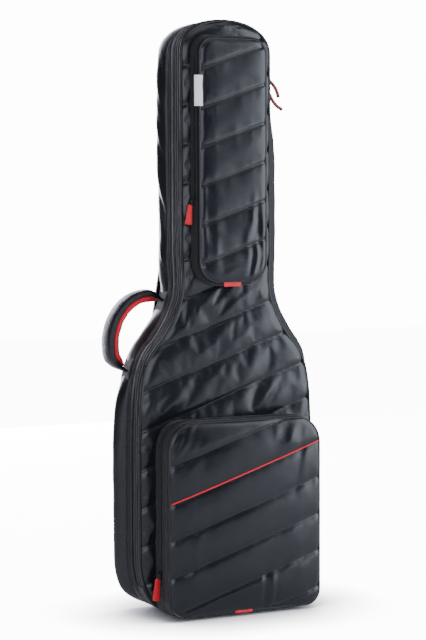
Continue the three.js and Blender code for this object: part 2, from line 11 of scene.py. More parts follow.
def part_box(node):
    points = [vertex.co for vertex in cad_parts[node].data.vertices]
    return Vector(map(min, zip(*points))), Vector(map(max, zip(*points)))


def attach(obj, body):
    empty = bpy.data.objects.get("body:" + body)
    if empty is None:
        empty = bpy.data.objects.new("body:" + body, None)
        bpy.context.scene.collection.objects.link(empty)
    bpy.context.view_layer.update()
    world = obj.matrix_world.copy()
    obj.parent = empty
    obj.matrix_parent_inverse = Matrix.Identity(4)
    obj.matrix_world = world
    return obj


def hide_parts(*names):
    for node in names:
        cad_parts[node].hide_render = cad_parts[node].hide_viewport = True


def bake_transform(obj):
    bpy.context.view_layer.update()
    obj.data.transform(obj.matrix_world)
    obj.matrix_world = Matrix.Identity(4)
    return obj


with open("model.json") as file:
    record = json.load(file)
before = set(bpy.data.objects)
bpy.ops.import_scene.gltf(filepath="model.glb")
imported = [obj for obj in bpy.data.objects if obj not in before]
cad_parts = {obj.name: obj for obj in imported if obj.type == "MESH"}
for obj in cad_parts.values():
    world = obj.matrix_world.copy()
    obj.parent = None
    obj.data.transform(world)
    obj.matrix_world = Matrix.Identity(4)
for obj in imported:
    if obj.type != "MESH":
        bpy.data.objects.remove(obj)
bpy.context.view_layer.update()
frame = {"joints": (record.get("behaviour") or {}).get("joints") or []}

# The studio is a white floor and backdrop under five softboxes: a tall one at the bag's right,
# one behind the camera, a narrow one at the left, a wide one behind the bag and one above it.
# The camera stands left of the bag's front. Its long lens keeps upright edges nearly parallel.
camera_turn = math.radians(26.5)
camera_drop = math.radians(3.22)
camera_roll = math.radians(0.2)
camera_place = (-1.511, -3.024, 0.713)
photo_focal_pixels = 1865
photo_height_pixels = 640

camera_data = bpy.data.cameras.new("camera")
camera_data.sensor_fit = "VERTICAL"
camera_data.lens = camera_data.sensor_height * photo_focal_pixels / photo_height_pixels
camera = bpy.data.objects.new("camera", camera_data)
camera.location = camera_place
camera.rotation_euler = (math.radians(90) - camera_drop, camera_roll, -camera_turn)
bpy.context.collection.objects.link(camera)
bpy.context.scene.camera = camera


lit_height = 0.55
daylight = (0.84, 0.9, 1.0)


def softbox(name, turn, distance, height, width, tall, watts, tint):
    light = bpy.data.lights.new(name, "AREA")
    light.shape = "RECTANGLE"
    light.size = width
    light.size_y = tall
    light.energy = watts
    light.color = tint
    lamp = bpy.data.objects.new(name, light)
    angle = math.radians(turn)
    lamp.location = (distance * math.sin(angle), -distance * math.cos(angle), height)
    aim = Vector((0, 0, lit_height)) - lamp.location
    lamp.rotation_euler = aim.to_track_quat("-Z", "Y").to_euler()
    bpy.context.collection.objects.link(lamp)


softbox("softbox_right", 54, 2.6, 1.05, 2.3, 2.6, 86, daylight)
softbox("softbox_front", -22, 3.8, 1.3, 2.0, 2.2, 40, daylight)
softbox("softbox_left", -62, 3.0, 1.2, 0.9, 2.2, 17, (0.88, 0.92, 1.0))
softbox("softbox_rear", -179, 2.7, 1.0, 2.4, 2.4, 170, (0.86, 0.87, 1.0))
softbox("softbox_above", 10, 1.4, 3.2, 2.2, 2.2, 20, (1, 1, 1))


def feed(tree, node, inputs):
    """Sets a node's inputs to values, or links them where another node's output is given."""
    for socket, value in inputs.items():
        if isinstance(value, bpy.types.NodeSocket):
            tree.links.new(value, node.inputs[socket])
        else:
            node.inputs[socket].default_value = value


def made(tree, kind, output, inputs, **settings):
    """A new shader node with its inputs fed, of which one output is wanted."""
    node = tree.nodes.new("ShaderNode" + kind)
    for setting, value in settings.items():
        setattr(node, setting, value)
    feed(tree, node, inputs)
    return node.outputs[output]


def toned(tree, factor, colour, dark, light, stops=(0, 1)):
    """One colour, from a dark share of it to a light share as the factor rises."""
    ramp = tree.nodes.new("ShaderNodeValToRGB")
    for stop, share, position in zip(ramp.color_ramp.elements, (dark, light), stops):
        stop.color = (*[min(share * part, 1) for part in colour], 1)
        stop.position = position
    tree.links.new(factor, ramp.inputs["Fac"])
    return ramp.outputs["Color"]


def new_finish(name):
    """An empty material, its nodes and its shader."""
    material = bpy.data.materials.new(name)
    material.use_nodes = True
    return material, material.node_tree, material.node_tree.nodes["Principled BSDF"]


white = (1, 1, 1, 1)
backdrop_strength = 14.0
room_strength = 0.1
world = bpy.data.worlds.new("backdrop")
bpy.context.scene.world = world
world.use_nodes = True
tree = world.node_tree
room = tree.nodes["Background"]
feed(tree, room, {"Color": (0.86, 0.92, 1.0, 1), "Strength": room_strength})
sweep = made(tree, "Background", "Background", {"Color": white, "Strength": backdrop_strength})
rays = made(tree, "LightPath", "Is Camera Ray", {})
choice = made(tree, "MixShader", "Shader", {"Fac": rays, 1: room.outputs["Background"], 2: sweep})
feed(tree, tree.nodes["World Output"], {"Surface": choice})

# The paper floor glows evenly white to the camera alone. Near the bag, ambient occlusion dims that
# glow: a painted contact shadow.
paper_glow = 12.0
painted_shadow_reach = 0.16
painted_shadow_power = 4.5
floor_size = 14.0
bpy.ops.mesh.primitive_plane_add(size=floor_size)
floor = bpy.context.object
floor.name = "floor"
paper, tree, shader = new_finish("white_paper_floor")
grain = made(tree, "TexNoise", "Fac", {"Scale": 300})
feed(tree, shader, {"Base Color": toned(tree, grain, (1, 1, 1), 0.9, 0.96), "Roughness": 0.9})
painted_contact_shadow = made(tree, "AmbientOcclusion", "AO", {"Distance": painted_shadow_reach})
painted_contact_shadow = made(tree, "Math", "Value", {0: painted_contact_shadow, 1: painted_shadow_power}, operation="POWER")
rays = made(tree, "LightPath", "Is Camera Ray", {})
glow = made(tree, "Math", "Value", {0: painted_contact_shadow, 1: rays}, operation="MULTIPLY")
glow = made(tree, "Math", "Value", {0: glow, 1: paper_glow}, operation="MULTIPLY")
glow = made(tree, "Emission", "Emission", {"Color": white, "Strength": glow})
both = made(tree, "AddShader", "Shader", {0: shader.outputs["BSDF"], 1: glow})
feed(tree, tree.nodes["Material Output"], {"Surface": both})
floor.data.materials.append(paper)

# The coated nylon is a fine plain weave with a thin glossy polyurethane face, cut from one roll.
# It covers the padded panels, the pockets and the handle. Its threads are half a millimetre wide.
# The gloss wanders a little where the coating is rubbed or stretched over the foam.
thread = 0.0005
bands_at_one = 0.314


def bands(tree, place, pitch, distortion, direction, **inputs):
    """A wave texture whose bands lie a pitch apart."""
    inputs |= {"Vector": place, "Scale": bands_at_one / pitch, "Distortion": distortion}
    return made(tree, "TexWave", "Fac", inputs, bands_direction=direction)


def patches(tree, place, scale, detail=2):
    return made(tree, "TexNoise", "Fac", {"Vector": place, "Scale": scale, "Detail": detail})


def surfaced(tree, shader, colour, height, strength, distance, roughness, sheen=0, nap=0.5):
    """Gives a shader its colour, its relief, its roughness and its sheen."""
    relief = {"Height": height, "Strength": strength, "Distance": distance}
    inputs = {"Base Color": colour, "Roughness": roughness}
    inputs["Normal"] = made(tree, "Bump", "Normal", relief)
    feed(tree, shader, inputs | {"Sheen Weight": sheen, "Sheen Roughness": nap})


def ranged(tree, factor, low, high, start=0, end=1):
    """A number that goes from low to high as the factor goes from start to end."""
    inputs = {"Value": factor, "From Min": start, "From Max": end, "To Min": low, "To Max": high}
    return made(tree, "MapRange", "Result", inputs)


def nylon_finish(name, colour, roughness, bump, rub):
    material, tree, shader = new_finish(name)
    place = made(tree, "TexCoord", "Object", {})
    warp, weft = (bands(tree, place, thread, 0.6, way, Detail=1.0) for way in ("X", "Z"))
    weave = made(tree, "Math", "Value", {0: warp, 1: weft}, operation="MULTIPLY")
    wear = patches(tree, place, 14, 5)
    gloss = ranged(tree, wear, roughness - rub, roughness + rub, 0.3, 0.7)
    colour = toned(tree, wear, colour, 0.82, 1.2)
    surfaced(tree, shader, colour, weave, bump, thread / 3, gloss)
    return material


nylon = nylon_finish("black_coated_nylon", (0.008, 0.0088, 0.0125), roughness=0.21, bump=0.12, rub=0.04)

# The bag's edge is one pattern piece for front and back: a flat base, round lower corners,
# straight hips, a waist and a straight neck. Every panel, gusset and corded edge is sewn along it.
# Its sizes are read from the frame, in metres, and its curves are those of the frame's own shell.
shell_low, shell_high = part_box("lid_gusset")
zip_low, zip_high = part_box("hinge_strip")
lid_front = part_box("lid_panel")[0][1]
bag_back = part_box("back_panel")[1][1]
zip_plane = (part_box("lid_gusset")[1][1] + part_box("back_gusset")[0][1]) / 2
base_level = shell_low[2]
bag_top = shell_high[2]
hip_half = shell_high[0]
hinge_low = zip_low[2]
hinge_high = zip_high[2]
slider_stand = 0.0021
neck_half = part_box("main_slider_high")[0][0] - slider_stand
neck_low = 0.64
neck_high = 1.0
base_half = 0.072
corner_handle_shares = (0.71, 0.36)
top_handle_shares = (0.667, 0.497)
shoulder_across = (1, 0.98, 0.946, 0.887, 0.768, 0.625, 0.446, 0.185, 0.018, -0.024, 0)
shoulder_up = (0, 0.156, 0.294, 0.388, 0.471, 0.524, 0.574, 0.676, 0.779, 0.882, 1)


def mix(a, b, share):
    return a + (b - a) * share


def bezier(corners, steps):
    t = np.linspace(0, 1, steps + 1)[:, None]
    a, b, c, d = (np.array(corner, float) for corner in corners)
    return (1 - t) ** 3 * a + 3 * (1 - t) ** 2 * t * b + 3 * (1 - t) * t**2 * c + t**3 * d


def smooth_line(points, steps):
    """A Catmull-Rom curve through the points, with so many steps between each two."""
    points = np.array(points, float)
    padded = np.vstack([points[:1], points, points[-1:]])
    t = np.linspace(0, 1, steps, endpoint=False)[:, None]
    pieces = []
    for i in range(len(points) - 1):
        a, b, c, d = padded[i : i + 4]
        slope_in = (c - a) / 2
        slope_out = (d - b) / 2
        curve = (2 * (b - c) + slope_in + slope_out) * t**3
        curve = curve + (-3 * b + 3 * c - 2 * slope_in - slope_out) * t**2
        pieces.append(curve + slope_in * t + b)
    return np.vstack(pieces + [points[-1:]])


def evenly(points, spacing, closed):
    """The same line with points at an even spacing."""
    line = np.vstack([points, points[:1]]) if closed else points
    along = np.concatenate([[0], np.cumsum(np.linalg.norm(np.diff(line, axis=0), axis=1))])
    count = max(int(round(along[-1] / spacing)), 3)
    places = np.linspace(0, along[-1], count + 1)
    if closed:
        places = places[:-1]
    return np.stack([np.interp(places, along, line[:, k]) for k in range(line.shape[1])], axis=1)


def bag_edge():
    corner = bezier(
        (
            (base_half, base_level),
            (mix(base_half, hip_half, corner_handle_shares[0]), base_level),
            (hip_half, mix(base_level, hinge_low, corner_handle_shares[1])),
            (hip_half, hinge_low),
        ),
        20,
    )
    shoulder = smooth_line(
        [
            (mix(neck_half, hip_half, across), mix(hinge_high, neck_low, up))
            for across, up in zip(shoulder_across, shoulder_up)
        ],
        6,
    )
    top = bezier(
        (
            (neck_half, neck_high),
            (neck_half, mix(neck_high, bag_top, top_handle_shares[0])),
            (neck_half * top_handle_shares[1], bag_top),
            (0, bag_top),
        ),
        20,
    )
    right = np.vstack([corner, shoulder, top])
    left = right[::-1][1:] * (-1, 1)
    return np.vstack([right, left])


edge_step = 0.004
edge = evenly(bag_edge(), edge_step, True)


def outwards(line, closed=True):
    """The unit normals of a line in the X-Z plane that runs anticlockwise seen from the front."""
    if closed:
        run = np.roll(line, -1, axis=0) - np.roll(line, 1, axis=0)
    else:
        run = np.gradient(line, axis=0)
    run = run / np.linalg.norm(run, axis=1, keepdims=True)
    return np.stack([run[:, 1], -run[:, 0]], axis=1)


# The padded front of the lid is nylon quilted to ten millimetres of foam in slanting channels.
# It is drawn in at its corded edge, creased at each seam and puckered beside the stitching.
# It folds loosely above the lower pocket and under the upper one, where the bag bends.
quilt_slope = 0.35
quilt_spacing = 0.0683
lid_quilt_level = 0.3905
lid_crown = 0.0035
lid_puff = 0.0026
panel_inset = 0.0045
lid_row_step = 0.0044
lid_columns = 84
lid_held_rim = 0.008
lid_roll = (0.02, 0.006)
lid_face_limit = 0.004
lid_folds = (
    (-0.02, 0.40, 0.10, 0.035, 38, 0.034, 0.0042),
    (0.09, 0.385, 0.05, 0.03, 20, 0.026, 0.003),
    (-0.10, 0.375, 0.05, 0.025, 45, 0.024, 0.0035),
    (0.02, 0.565, 0.09, 0.028, 48, 0.026, 0.004),
    (-0.02, 0.51, 0.06, 0.06, 40, 0.04, 0.0042),
    (0.06, 0.46, 0.07, 0.05, 35, 0.045, 0.003),
    (-0.16, 0.22, 0.02, 0.16, 70, 0.034, 0.002),
)
lid_quilt_seed = 11
crease_round = 0.0026
pucker_height = 0.13
seam_wander = 0.0016


def ripple(u, v, seed):
    """Smooth noise between about -1 and 1, with one swell for each unit of u and v."""
    size = 64
    angles = np.random.default_rng(seed).uniform(0, 2 * math.pi, (size, size))
    iu = np.floor(u).astype(int)
    iv = np.floor(v).astype(int)
    fu = u - iu
    fv = v - iv
    total = np.zeros(np.broadcast(u, v).shape)
    for du in (0, 1):
        for dv in (0, 1):
            angle = angles[(iu + du) % size, (iv + dv) % size]
            slope = np.cos(angle) * (fu - du) + np.sin(angle) * (fv - dv)
            wu = 1 - np.abs(fu - du)
            wv = 1 - np.abs(fv - dv)
            total += slope * (wu * wu * (3 - 2 * wu)) * (wv * wv * (3 - 2 * wv))
    return 1.6 * total


def from_seam(x, z, level, slope, spacing, seed):
    """The distance to the nearest quilting seam, and that seam's number."""
    wander = seam_wander * ripple(x / 0.09, z / 0.3, seed)
    turns = (z - slope * x - level + wander) / spacing
    away = np.abs(turns - np.round(turns)) * spacing / math.hypot(1, slope)
    return away, np.round(turns)


def quilting(x, z, level, slope, spacing, seed, softness=0.0055):
    """How far the quilting stands up, from 0 in a seam to 1, with puckers beside the seams."""
    away, seam = from_seam(x, z, level, slope, spacing, seed)
    swell = 1 - np.exp(-(np.hypot(away, crease_round) - crease_round) / softness)
    pucker = ripple(x / 0.011, seam * 7 + z / 0.05, seed + 1)
    pucker = pucker * np.exp(-away / 0.009) * (away / 0.004) / (1 + away / 0.004)
    return swell + pucker_height * pucker


def folds(x, z, patches, seed):
    """Loose folds: each patch has a middle, a reach, a slant, a width of fold and a height."""
    total = np.zeros(x.shape)
    for i, (px, pz, rx, rz, slant, width, height) in enumerate(patches):
        angle = math.radians(slant)
        along = (x - px) * math.sin(angle) + (z - pz) * math.cos(angle)
        across = (x - px) * math.cos(angle) - (z - pz) * math.sin(angle)
        inside = np.exp(-(((x - px) / rx) ** 2) - ((z - pz) / rz) ** 2)
        bend = 0.5 * width * ripple(along / (3.5 * width), across / (3 * width), seed + 7 * i)
        swell = ripple((across + bend) / width, along / (7 * width), seed + 3 * i + 1)
        total += height * inside * swell
    return total


def clearance(x, z, line):
    """The distance from each place to a closed line."""
    near = np.full(x.shape, 9.0)
    ends = np.roll(line, -1, axis=0)
    for a, b in zip(line[::2], ends[1::2]):
        run = b - a
        share = ((x - a[0]) * run[0] + (z - a[1]) * run[1]) / (run @ run)
        share = np.clip(share, 0, 1)
        near = np.minimum(near, np.hypot(x - a[0] - share * run[0], z - a[1] - share * run[1]))
    return near


def finish_mesh(name, places, faces, finish, sharp=50):
    """A named object from points and faces, facing out, smooth except at sharp corners."""
    mesh = bpy.data.meshes.new(name)
    mesh.from_pydata([tuple(map(float, place)) for place in places], [], faces)
    shaped = bmesh.new()
    shaped.from_mesh(mesh)
    bmesh.ops.remove_doubles(shaped, verts=shaped.verts, dist=1e-7)
    bmesh.ops.recalc_face_normals(shaped, faces=shaped.faces)
    shaped.to_mesh(mesh)
    shaped.free()
    mesh.shade_smooth()
    mesh.set_sharp_from_angle(angle=math.radians(sharp))
    piece = bpy.data.objects.new(name, mesh)
    bpy.context.collection.objects.link(piece)
    mesh.materials.append(finish)
    return piece


def panel_rows(line, inset, row_step, columns):
    """Rows of places that fill a closed line, crowded where its ends turn in."""
    inner = line - inset * outwards(line)
    middle = inner[:, 0].min() / 2 + inner[:, 0].max() / 2
    right = inner[inner[:, 0] >= middle]
    right = right[np.argsort(right[:, 1])]
    left = inner[inner[:, 0] < middle]
    left = left[np.argsort(left[:, 1])]
    low = inner[:, 1].min()
    high = inner[:, 1].max()
    count = int((high - low) / row_step)
    even = np.linspace(0, 1, count)
    crowd = even - 0.9 * np.sin(2 * math.pi * even) / (2 * math.pi)
    near_end = np.minimum(even, 1 - even) < 0.08
    levels = low + (high - low) * np.where(near_end, crowd, even)
    levels = np.unique(np.concatenate([levels, np.linspace(low, high, count)]))
    levels = levels[np.concatenate([[True], np.diff(levels) > row_step / 8])]
    levels[-1] = high
    right_edge = np.interp(levels, right[:, 1], right[:, 0])
    left_edge = np.interp(levels, left[:, 1], left[:, 0])
    across = np.linspace(0, 1, columns)
    across = across - 0.55 * np.sin(2 * math.pi * across) / (2 * math.pi)
    x = left_edge[:, None] + (right_edge - left_edge)[:, None] * across[None, :]
    z = np.repeat(levels[:, None], columns, axis=1)
    return x, z


def padded_panel(name, x, z, face, back, finish):
    """A closed pad: a shaped face, its rim and a flat back."""
    rows, columns = x.shape
    places = list(np.stack([x, face, z], axis=2).reshape(-1, 3))
    faces = []
    for i in range(rows - 1):
        for j in range(columns - 1):
            a = i * columns + j
            faces.append((a, a + 1, a + columns + 1, a + columns))
    rim = list(range(columns))
    rim += [i * columns + columns - 1 for i in range(1, rows)]
    rim += [(rows - 1) * columns + j for j in range(columns - 2, -1, -1)]
    rim += [i * columns for i in range(rows - 2, 0, -1)]
    start = len(places)
    places += [(places[k][0], back, places[k][2]) for k in rim]
    count = len(rim)
    for i in range(count):
        k = (i + 1) % count
        faces.append((rim[k], rim[i], start + i, start + k))
    faces.append(tuple(range(start, start + count)))
    return finish_mesh(name, places, faces, finish)


def rolled_edge(away, reach, drop):
    """How far cloth is drawn back towards a seam at its rim, from drop at the rim to nothing."""
    share = np.clip(away / reach, 0, 1)
    return drop * (1 - share) ** 2.2


cloth_frames = 12


def settled(draft, grid, held, pressure, spare, reach, stiffness):
    """The face's grid after its loose cloth is blown out; held is 1 where stitches hold it."""
    count = len(draft.data.vertices)
    rest = np.empty(3 * count)
    draft.data.vertices.foreach_get("co", rest)
    group = draft.vertex_groups.new(name="stitched")
    for level in np.unique(held):
        group.add([int(k) for k in np.nonzero(held == level)[0]], float(level), "REPLACE")
    cloth = draft.modifiers.new("cloth", "CLOTH")
    cloth.settings.quality = 3
    cloth.settings.mass = 0.25
    cloth.settings.tension_stiffness = 12
    cloth.settings.compression_stiffness = 12
    cloth.settings.shear_stiffness = 4
    cloth.settings.bending_stiffness = stiffness
    cloth.settings.vertex_group_mass = "stitched"
    cloth.settings.use_pressure = True
    cloth.settings.uniform_pressure_force = pressure
    cloth.settings.shrink_min = -spare
    cloth.settings.effector_weights.gravity = 0
    cloth.collision_settings.use_collision = False
    cloth.point_cache.frame_start = 1
    cloth.point_cache.frame_end = cloth_frames
    for number in range(1, cloth_frames + 1):
        bpy.context.scene.frame_set(number)
    shaped = draft.evaluated_get(bpy.context.evaluated_depsgraph_get())
    moved = np.empty(3 * count)
    shaped.data.vertices.foreach_get("co", moved)
    bpy.context.scene.frame_set(1)
    move = (moved - rest).reshape(-1, 3)
    far = np.linalg.norm(move, axis=1, keepdims=True)
    move = move * (reach * np.tanh(far / reach) / np.maximum(far, 1e-9))
    spots = KDTree(count)
    for k, place in enumerate(rest.reshape(-1, 3)):
        spots.insert(place, k)
    spots.balance()
    found = np.array([spots.find(place)[1] for place in grid.reshape(-1, 3)])
    return grid + move[found].reshape(grid.shape)


def finer(grid):
    """A grid of places with one more place between each two, on a smooth curve."""
    for axis in (0, 1):
        grid = np.moveaxis(grid, axis, 0)
        ends = np.concatenate([2 * grid[:1] - grid[1:2], grid, 2 * grid[-1:] - grid[-2:-1]])
        between = (9 * (ends[1:-2] + ends[2:-1]) - ends[:-3] - ends[3:]) / 16
        full = np.empty((2 * len(grid) - 1, *grid.shape[1:]))
        full[::2] = grid
        full[1::2] = between
        grid = np.moveaxis(full, 0, axis)
    return grid


seam_depth = 0.0011
seam_reach = 0.0023
seam_hold = 0.004
stitch_hold = 0.0016


def held_by_stitches(piece, back, line, seams, rim):
    """1 at the pad's back, rim and quilting seams, and 0 on its loose face."""
    places = np.array([tuple(vertex.co) for vertex in piece.data.vertices])
    x = places[:, 0]
    z = places[:, 2]
    stitched = from_seam(x, z, *seams)[0] < stitch_hold
    held = stitched | (places[:, 1] > back - 0.0015) | (clearance(x, z, line) < rim)
    return held.astype(float)


def quilted_pad(name, x, z, face, back, line, seams, rim, cloth):
    """A padded front: blown out between its seams, then drawn in where it is stitched."""
    draft = padded_panel(name + "_draft", x, z, face, back, nylon)
    held = held_by_stitches(draft, back, line, seams, rim)
    start = np.stack([x, face, z], axis=2)
    loose = 1 - np.exp(-((from_seam(x, z, *seams)[0] / seam_hold) ** 2))
    grid = settled(draft, start, held, **cloth)
    grid = finer(start + (grid - start) * loose[..., None])
    bpy.data.objects.remove(draft)
    x, face, z = grid[..., 0], grid[..., 1], grid[..., 2]
    away = from_seam(x, z, *seams)[0]
    inside = np.clip((clearance(x, z, line) - 0.003) / 0.004, 0, 1)
    groove = seam_depth * np.exp(-((away / seam_reach) ** 2)) * inside
    return padded_panel(name, x, z, face + groove, back, nylon)


def outline_half():
    """The bag's half width at each level, for finding how far across its face a place is."""
    right = edge[edge[:, 0] >= 0]
    right = right[np.argsort(right[:, 1])]
    return right[:, 1], np.maximum(right[:, 0], 0.02)


def make_lid_front():
    x, z = panel_rows(edge, panel_inset, lid_row_step, lid_columns)
    away = clearance(x, z, edge)
    seams = (lid_quilt_level, quilt_slope, quilt_spacing, lid_quilt_seed)
    puff = lid_puff * quilting(x, z, *seams)
    half = np.interp(z[:, 0], *outline_half())[:, None]
    crown = lid_crown * np.cos(np.clip(x / half, -1, 1) * math.pi / 2)
    loose = folds(x, z, lid_folds, 31)
    fine = 0.0004 * ripple(x / 0.02, z / 0.03, 5)
    face = lid_front - crown - puff - loose - fine + rolled_edge(away, *lid_roll)
    face = np.minimum(face, lid_front + lid_face_limit)
    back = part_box("lid_panel")[1][1]
    cloth = {"pressure": 1.2, "spare": 0.0012, "reach": 0.004, "stiffness": 2.0}
    return quilted_pad("lid_front", x, z, face, back, edge, seams, lid_held_rim, cloth)


def dress(piece, body, slot, *nodes, fill=None):
    """Puts a piece on its body and hides the solids that it stands for. Its slot is not used."""
    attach(piece, body)
    if nodes:
        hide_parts(*nodes)
    return piece


dress(make_lid_front(), "lid", "nylon", "lid_panel", fill=0.7)

# The lid's side is a stiff gusset of ribbed tape, sewn lengthwise in folds to the zip.
# Half of the main zip runs round it: a woven tape and a row of moulded teeth.
# It is drawn in a little where its threads hold it, and it is matte against the nylon.
tape_rib = 0.0011


def ribbed_finish(name, colour, roughness):
    material, tree, shader = new_finish(name)
    place = made(tree, "TexCoord", "Object", {})
    ribs_high = bands(tree, place, tape_rib, 0.3, "Y")
    fibres = patches(tree, place, 900)
    height = made(tree, "Math", "Value", {0: ribs_high, 1: fibres}, operation="ADD")
    colour = toned(tree, fibres, colour, 0.7, 1.25)
    surfaced(tree, shader, colour, height, 0.5, tape_rib / 4, roughness, 0.1)
    return material


ribbed_tape = ribbed_finish("ribbed_black_tape", (0.009, 0.0095, 0.013), roughness=0.66)
tooth_pitch = 0.003
tooth_reach = 0.0019
tooth_height = 0.0012
tooth_profile = ((-0.3, 0.62), (0.55, 0.5), (1.0, 0.8), (1.9, 0.55))


def tube_faces(rings, sides, closed):
    """The faces round a row of rings of points, with its two ends filled where it is open."""
    faces = []
    for i in range(rings if closed else rings - 1):
        j = (i + 1) % rings
        for k in range(sides):
            m = (k + 1) % sides
            faces.append((i * sides + k, i * sides + m, j * sides + m, j * sides + k))
    if not closed:
        faces.append(tuple(range(sides)))
        faces.append(tuple(range((rings - 1) * sides, rings * sides)))
    return faces


def band(name, line, outs, depths, finish, closed=True, sharp=50, turn=None):
    """A closed section carried along a line: outs are outwards from it, depths along Y."""
    count = len(line)
    outs, depths = (
        np.broadcast_to(np.atleast_2d(part), (count, np.shape(part)[-1])) for part in (outs, depths)
    )
    flat = line[:, None, :] + outs[..., None] * outwards(line, closed)[:, None, :]
    places = np.stack([flat[..., 0], depths, flat[..., 1]], axis=2).reshape(-1, 3)
    if turn is not None:
        places = np.array([turn @ Vector(place) for place in places])
    return finish_mesh(name, places, tube_faces(count, outs.shape[1], closed), finish, sharp)


def skin_section(outer, depths, thickness):
    """The outer face's section with its flat inner face, as one closed loop."""
    inner = np.full((len(outer), 3), -thickness)
    inner_depths = np.array([depths[-1], (depths[0] + depths[-1]) / 2, depths[0]])
    return np.hstack([outer, inner]), np.concatenate([depths, inner_depths])[None, :]


def ribs(depths, folds_at, height, width):
    """Rounded sewn folds at the given depths."""
    total = np.zeros(len(depths))
    for middle in folds_at:
        total = np.maximum(total, height * np.sqrt(np.clip(1 - ((depths - middle) / width) ** 2, 0, 1)))
    return total


def tuck(depths, at, drop, width):
    """A seam that draws the cloth in by a drop at one depth."""
    return -drop * np.exp(-(((depths - at) / width) ** 2))


def zip_teeth(name, line, surface, plane, side):
    """A row of moulded teeth on one side of a zip's plane, each with a rounded head."""
    line = evenly(line, tooth_pitch, False)
    if side < 0:
        line = (line[:-1] + line[1:]) / 2
    across = outwards(line, False)
    along = np.stack([-across[:, 1], across[:, 0]], axis=1)
    places = []
    faces = []
    for place, out, run in zip(line, across, along):
        start = len(places)
        for reach, thick in tooth_profile:
            depth = plane + side * (reach - 0.3) * tooth_reach
            half = thick * tooth_pitch / 2
            for lift, share in ((0, 1), (tooth_height, 0.7)):
                for hand in (-1, 1):
                    spot = place + out * (surface + lift) + run * hand * half * share
                    places.append((spot[0], depth, spot[1]))
        for k in range(3):
            a = start + 4 * k
            b = a + 4
            faces += [(a, b, b + 1, a + 1), (a + 2, a + 3, b + 3, b + 2)]
            faces += [(a, a + 2, b + 2, b), (a + 1, b + 1, b + 3, a + 3)]
        faces += [(start, start + 1, start + 3, start + 2)]
        end = start + 12
        faces += [(end, end + 2, end + 3, end + 1)]
    return finish_mesh(name, places, faces, teeth_plastic, 30)


def without_hinge(line):
    """The closed line cut at the hinge: from its upper end round to its lower end."""
    right = (line[:, 0] > 0) & (line[:, 1] > hinge_low) & (line[:, 1] < hinge_high)
    cut = np.nonzero(right)[0]
    return np.vstack([line[cut.max() + 1 :], line[: cut.min()]])


cord_room = 0.0055
sewing_gap = 0.0002
lid_side_front = lid_front + cord_room
lid_side_depths = np.linspace(lid_side_front, zip_plane - sewing_gap, 30)
gusset_thickness = 0.006
side_set_in = 0.0006
zip_tape_width = 0.009
lid_side_folds = (0.0105, 0.0185)
lid_side_seams = ((0.0145, 0.002, 0.0012), (0.0225, 0.0022, 0.0012))
side_swell = 0.012
side_swell_low = 0.46
side_swell_high = 0.87
side_swell_share = 0.74


def side_ripples(depths, hold_at, hold_reach, *layers):
    """Small ripples along the bag's side, flat where the zip's threads hold the cloth."""
    along = np.arange(len(edge)) * edge_step
    u, v = np.meshgrid(along, depths, indexing="ij")
    loose = sum(height * ripple(u / long, v / wide, seed) for height, long, wide, seed in layers)
    held = np.exp(-((depths - hold_at) / hold_reach) ** 2)
    return loose * (1 - held[None, :])


def make_lid_side():
    depths = lid_side_depths
    profile = ribs(depths, [lid_front + at for at in lid_side_folds], 0.0015, 0.0034)
    for at, drop, width in lid_side_seams:
        profile += tuck(depths, lid_front + at, drop, width)
    profile -= side_set_in * (depths > zip_plane - zip_tape_width)
    layers = (0.0007, 0.03, 0.012, 41), (0.0008, 0.11, 0.02, 42)
    loose = side_ripples(depths, zip_plane, 0.006, *layers)
    share = (depths - lid_side_front) / (depths[-1] - lid_side_front)
    level = edge[:, 1]
    stretch = (edge[:, 0] > 0) / (1 + np.exp(-(level - side_swell_low) / 0.015))
    stretch = stretch / (1 + np.exp((level - side_swell_high) / 0.02))
    full = np.clip(share / side_swell_share, 0, 1)
    swell = side_swell * stretch[:, None] * (np.sin(math.pi * full**0.5) ** 0.8)[None, :]
    outer = profile[None, :] + loose - side_set_in + swell
    return band("lid_side", edge, *skin_section(outer, depths, gusset_thickness), ribbed_tape)


dress(make_lid_side(), "lid", "zip_tape", "lid_gusset")
zip_run = without_hinge(edge)
teeth_plastic = ribbed_finish("black_zip_teeth", (0.01, 0.01, 0.012), roughness=0.55)
dress(zip_teeth("lid_zip_teeth", zip_run, 0.0, zip_plane, -1), "lid", "zip_tape", "lid_zip")

# Corded piping closes every outer seam: a round cord inside a bias strip of the same nylon.
# It is sewn between the panel and the side, and it ripples a little from stitch to stitch.
piping_radius = 0.003
piping_lie = 0.0032
piping_sides = 12
edge_nylon = nylon_finish("piping_nylon", (0.006, 0.0065, 0.0085), roughness=0.3, bump=0.25, rub=0.05)


def corded_edge(name, line, radius, depth, seed):
    along = np.arange(len(line)) * np.linalg.norm(line[1] - line[0])
    size = radius * (1 + 0.05 * ripple(along / 0.014, np.full(len(line), 0.5), seed))
    turns = np.linspace(0, 2 * math.pi, piping_sides, endpoint=False)
    outs = -radius + size[:, None] * np.sin(turns)[None, :]
    depths = depth + size[:, None] * np.cos(turns)[None, :]
    return band(name, line, outs, depths, edge_nylon, sharp=180)


lid_piping = corded_edge("lid_cording", edge, piping_radius, lid_front + piping_lie, 51)
dress(lid_piping, "lid", "nylon", "lid_piping")

# A moulded rubber guard wraps the base and the lower corners, one strip on each half.
# It is a thin sheet with a soft pebbled face and a welt at its edges, glued and sewn on.
guard_top = 0.058
guard_sheet = 0.002
guard_welt = 0.0005
guard_stand = 0.0002


def rubber_finish(name, colour, roughness, pebble):
    material, tree, shader = new_finish(name)
    place = made(tree, "TexCoord", "Object", {})
    pebbles = made(tree, "TexVoronoi", "Distance", {"Vector": place, "Scale": 1 / pebble})
    scuff = patches(tree, place, 60, 6)
    gloss = ranged(tree, scuff, roughness - 0.1, roughness + 0.12)
    colour = toned(tree, scuff, colour, 0.8, 1.4)
    surfaced(tree, shader, colour, pebbles, 0.35, pebble / 5, gloss)
    return material


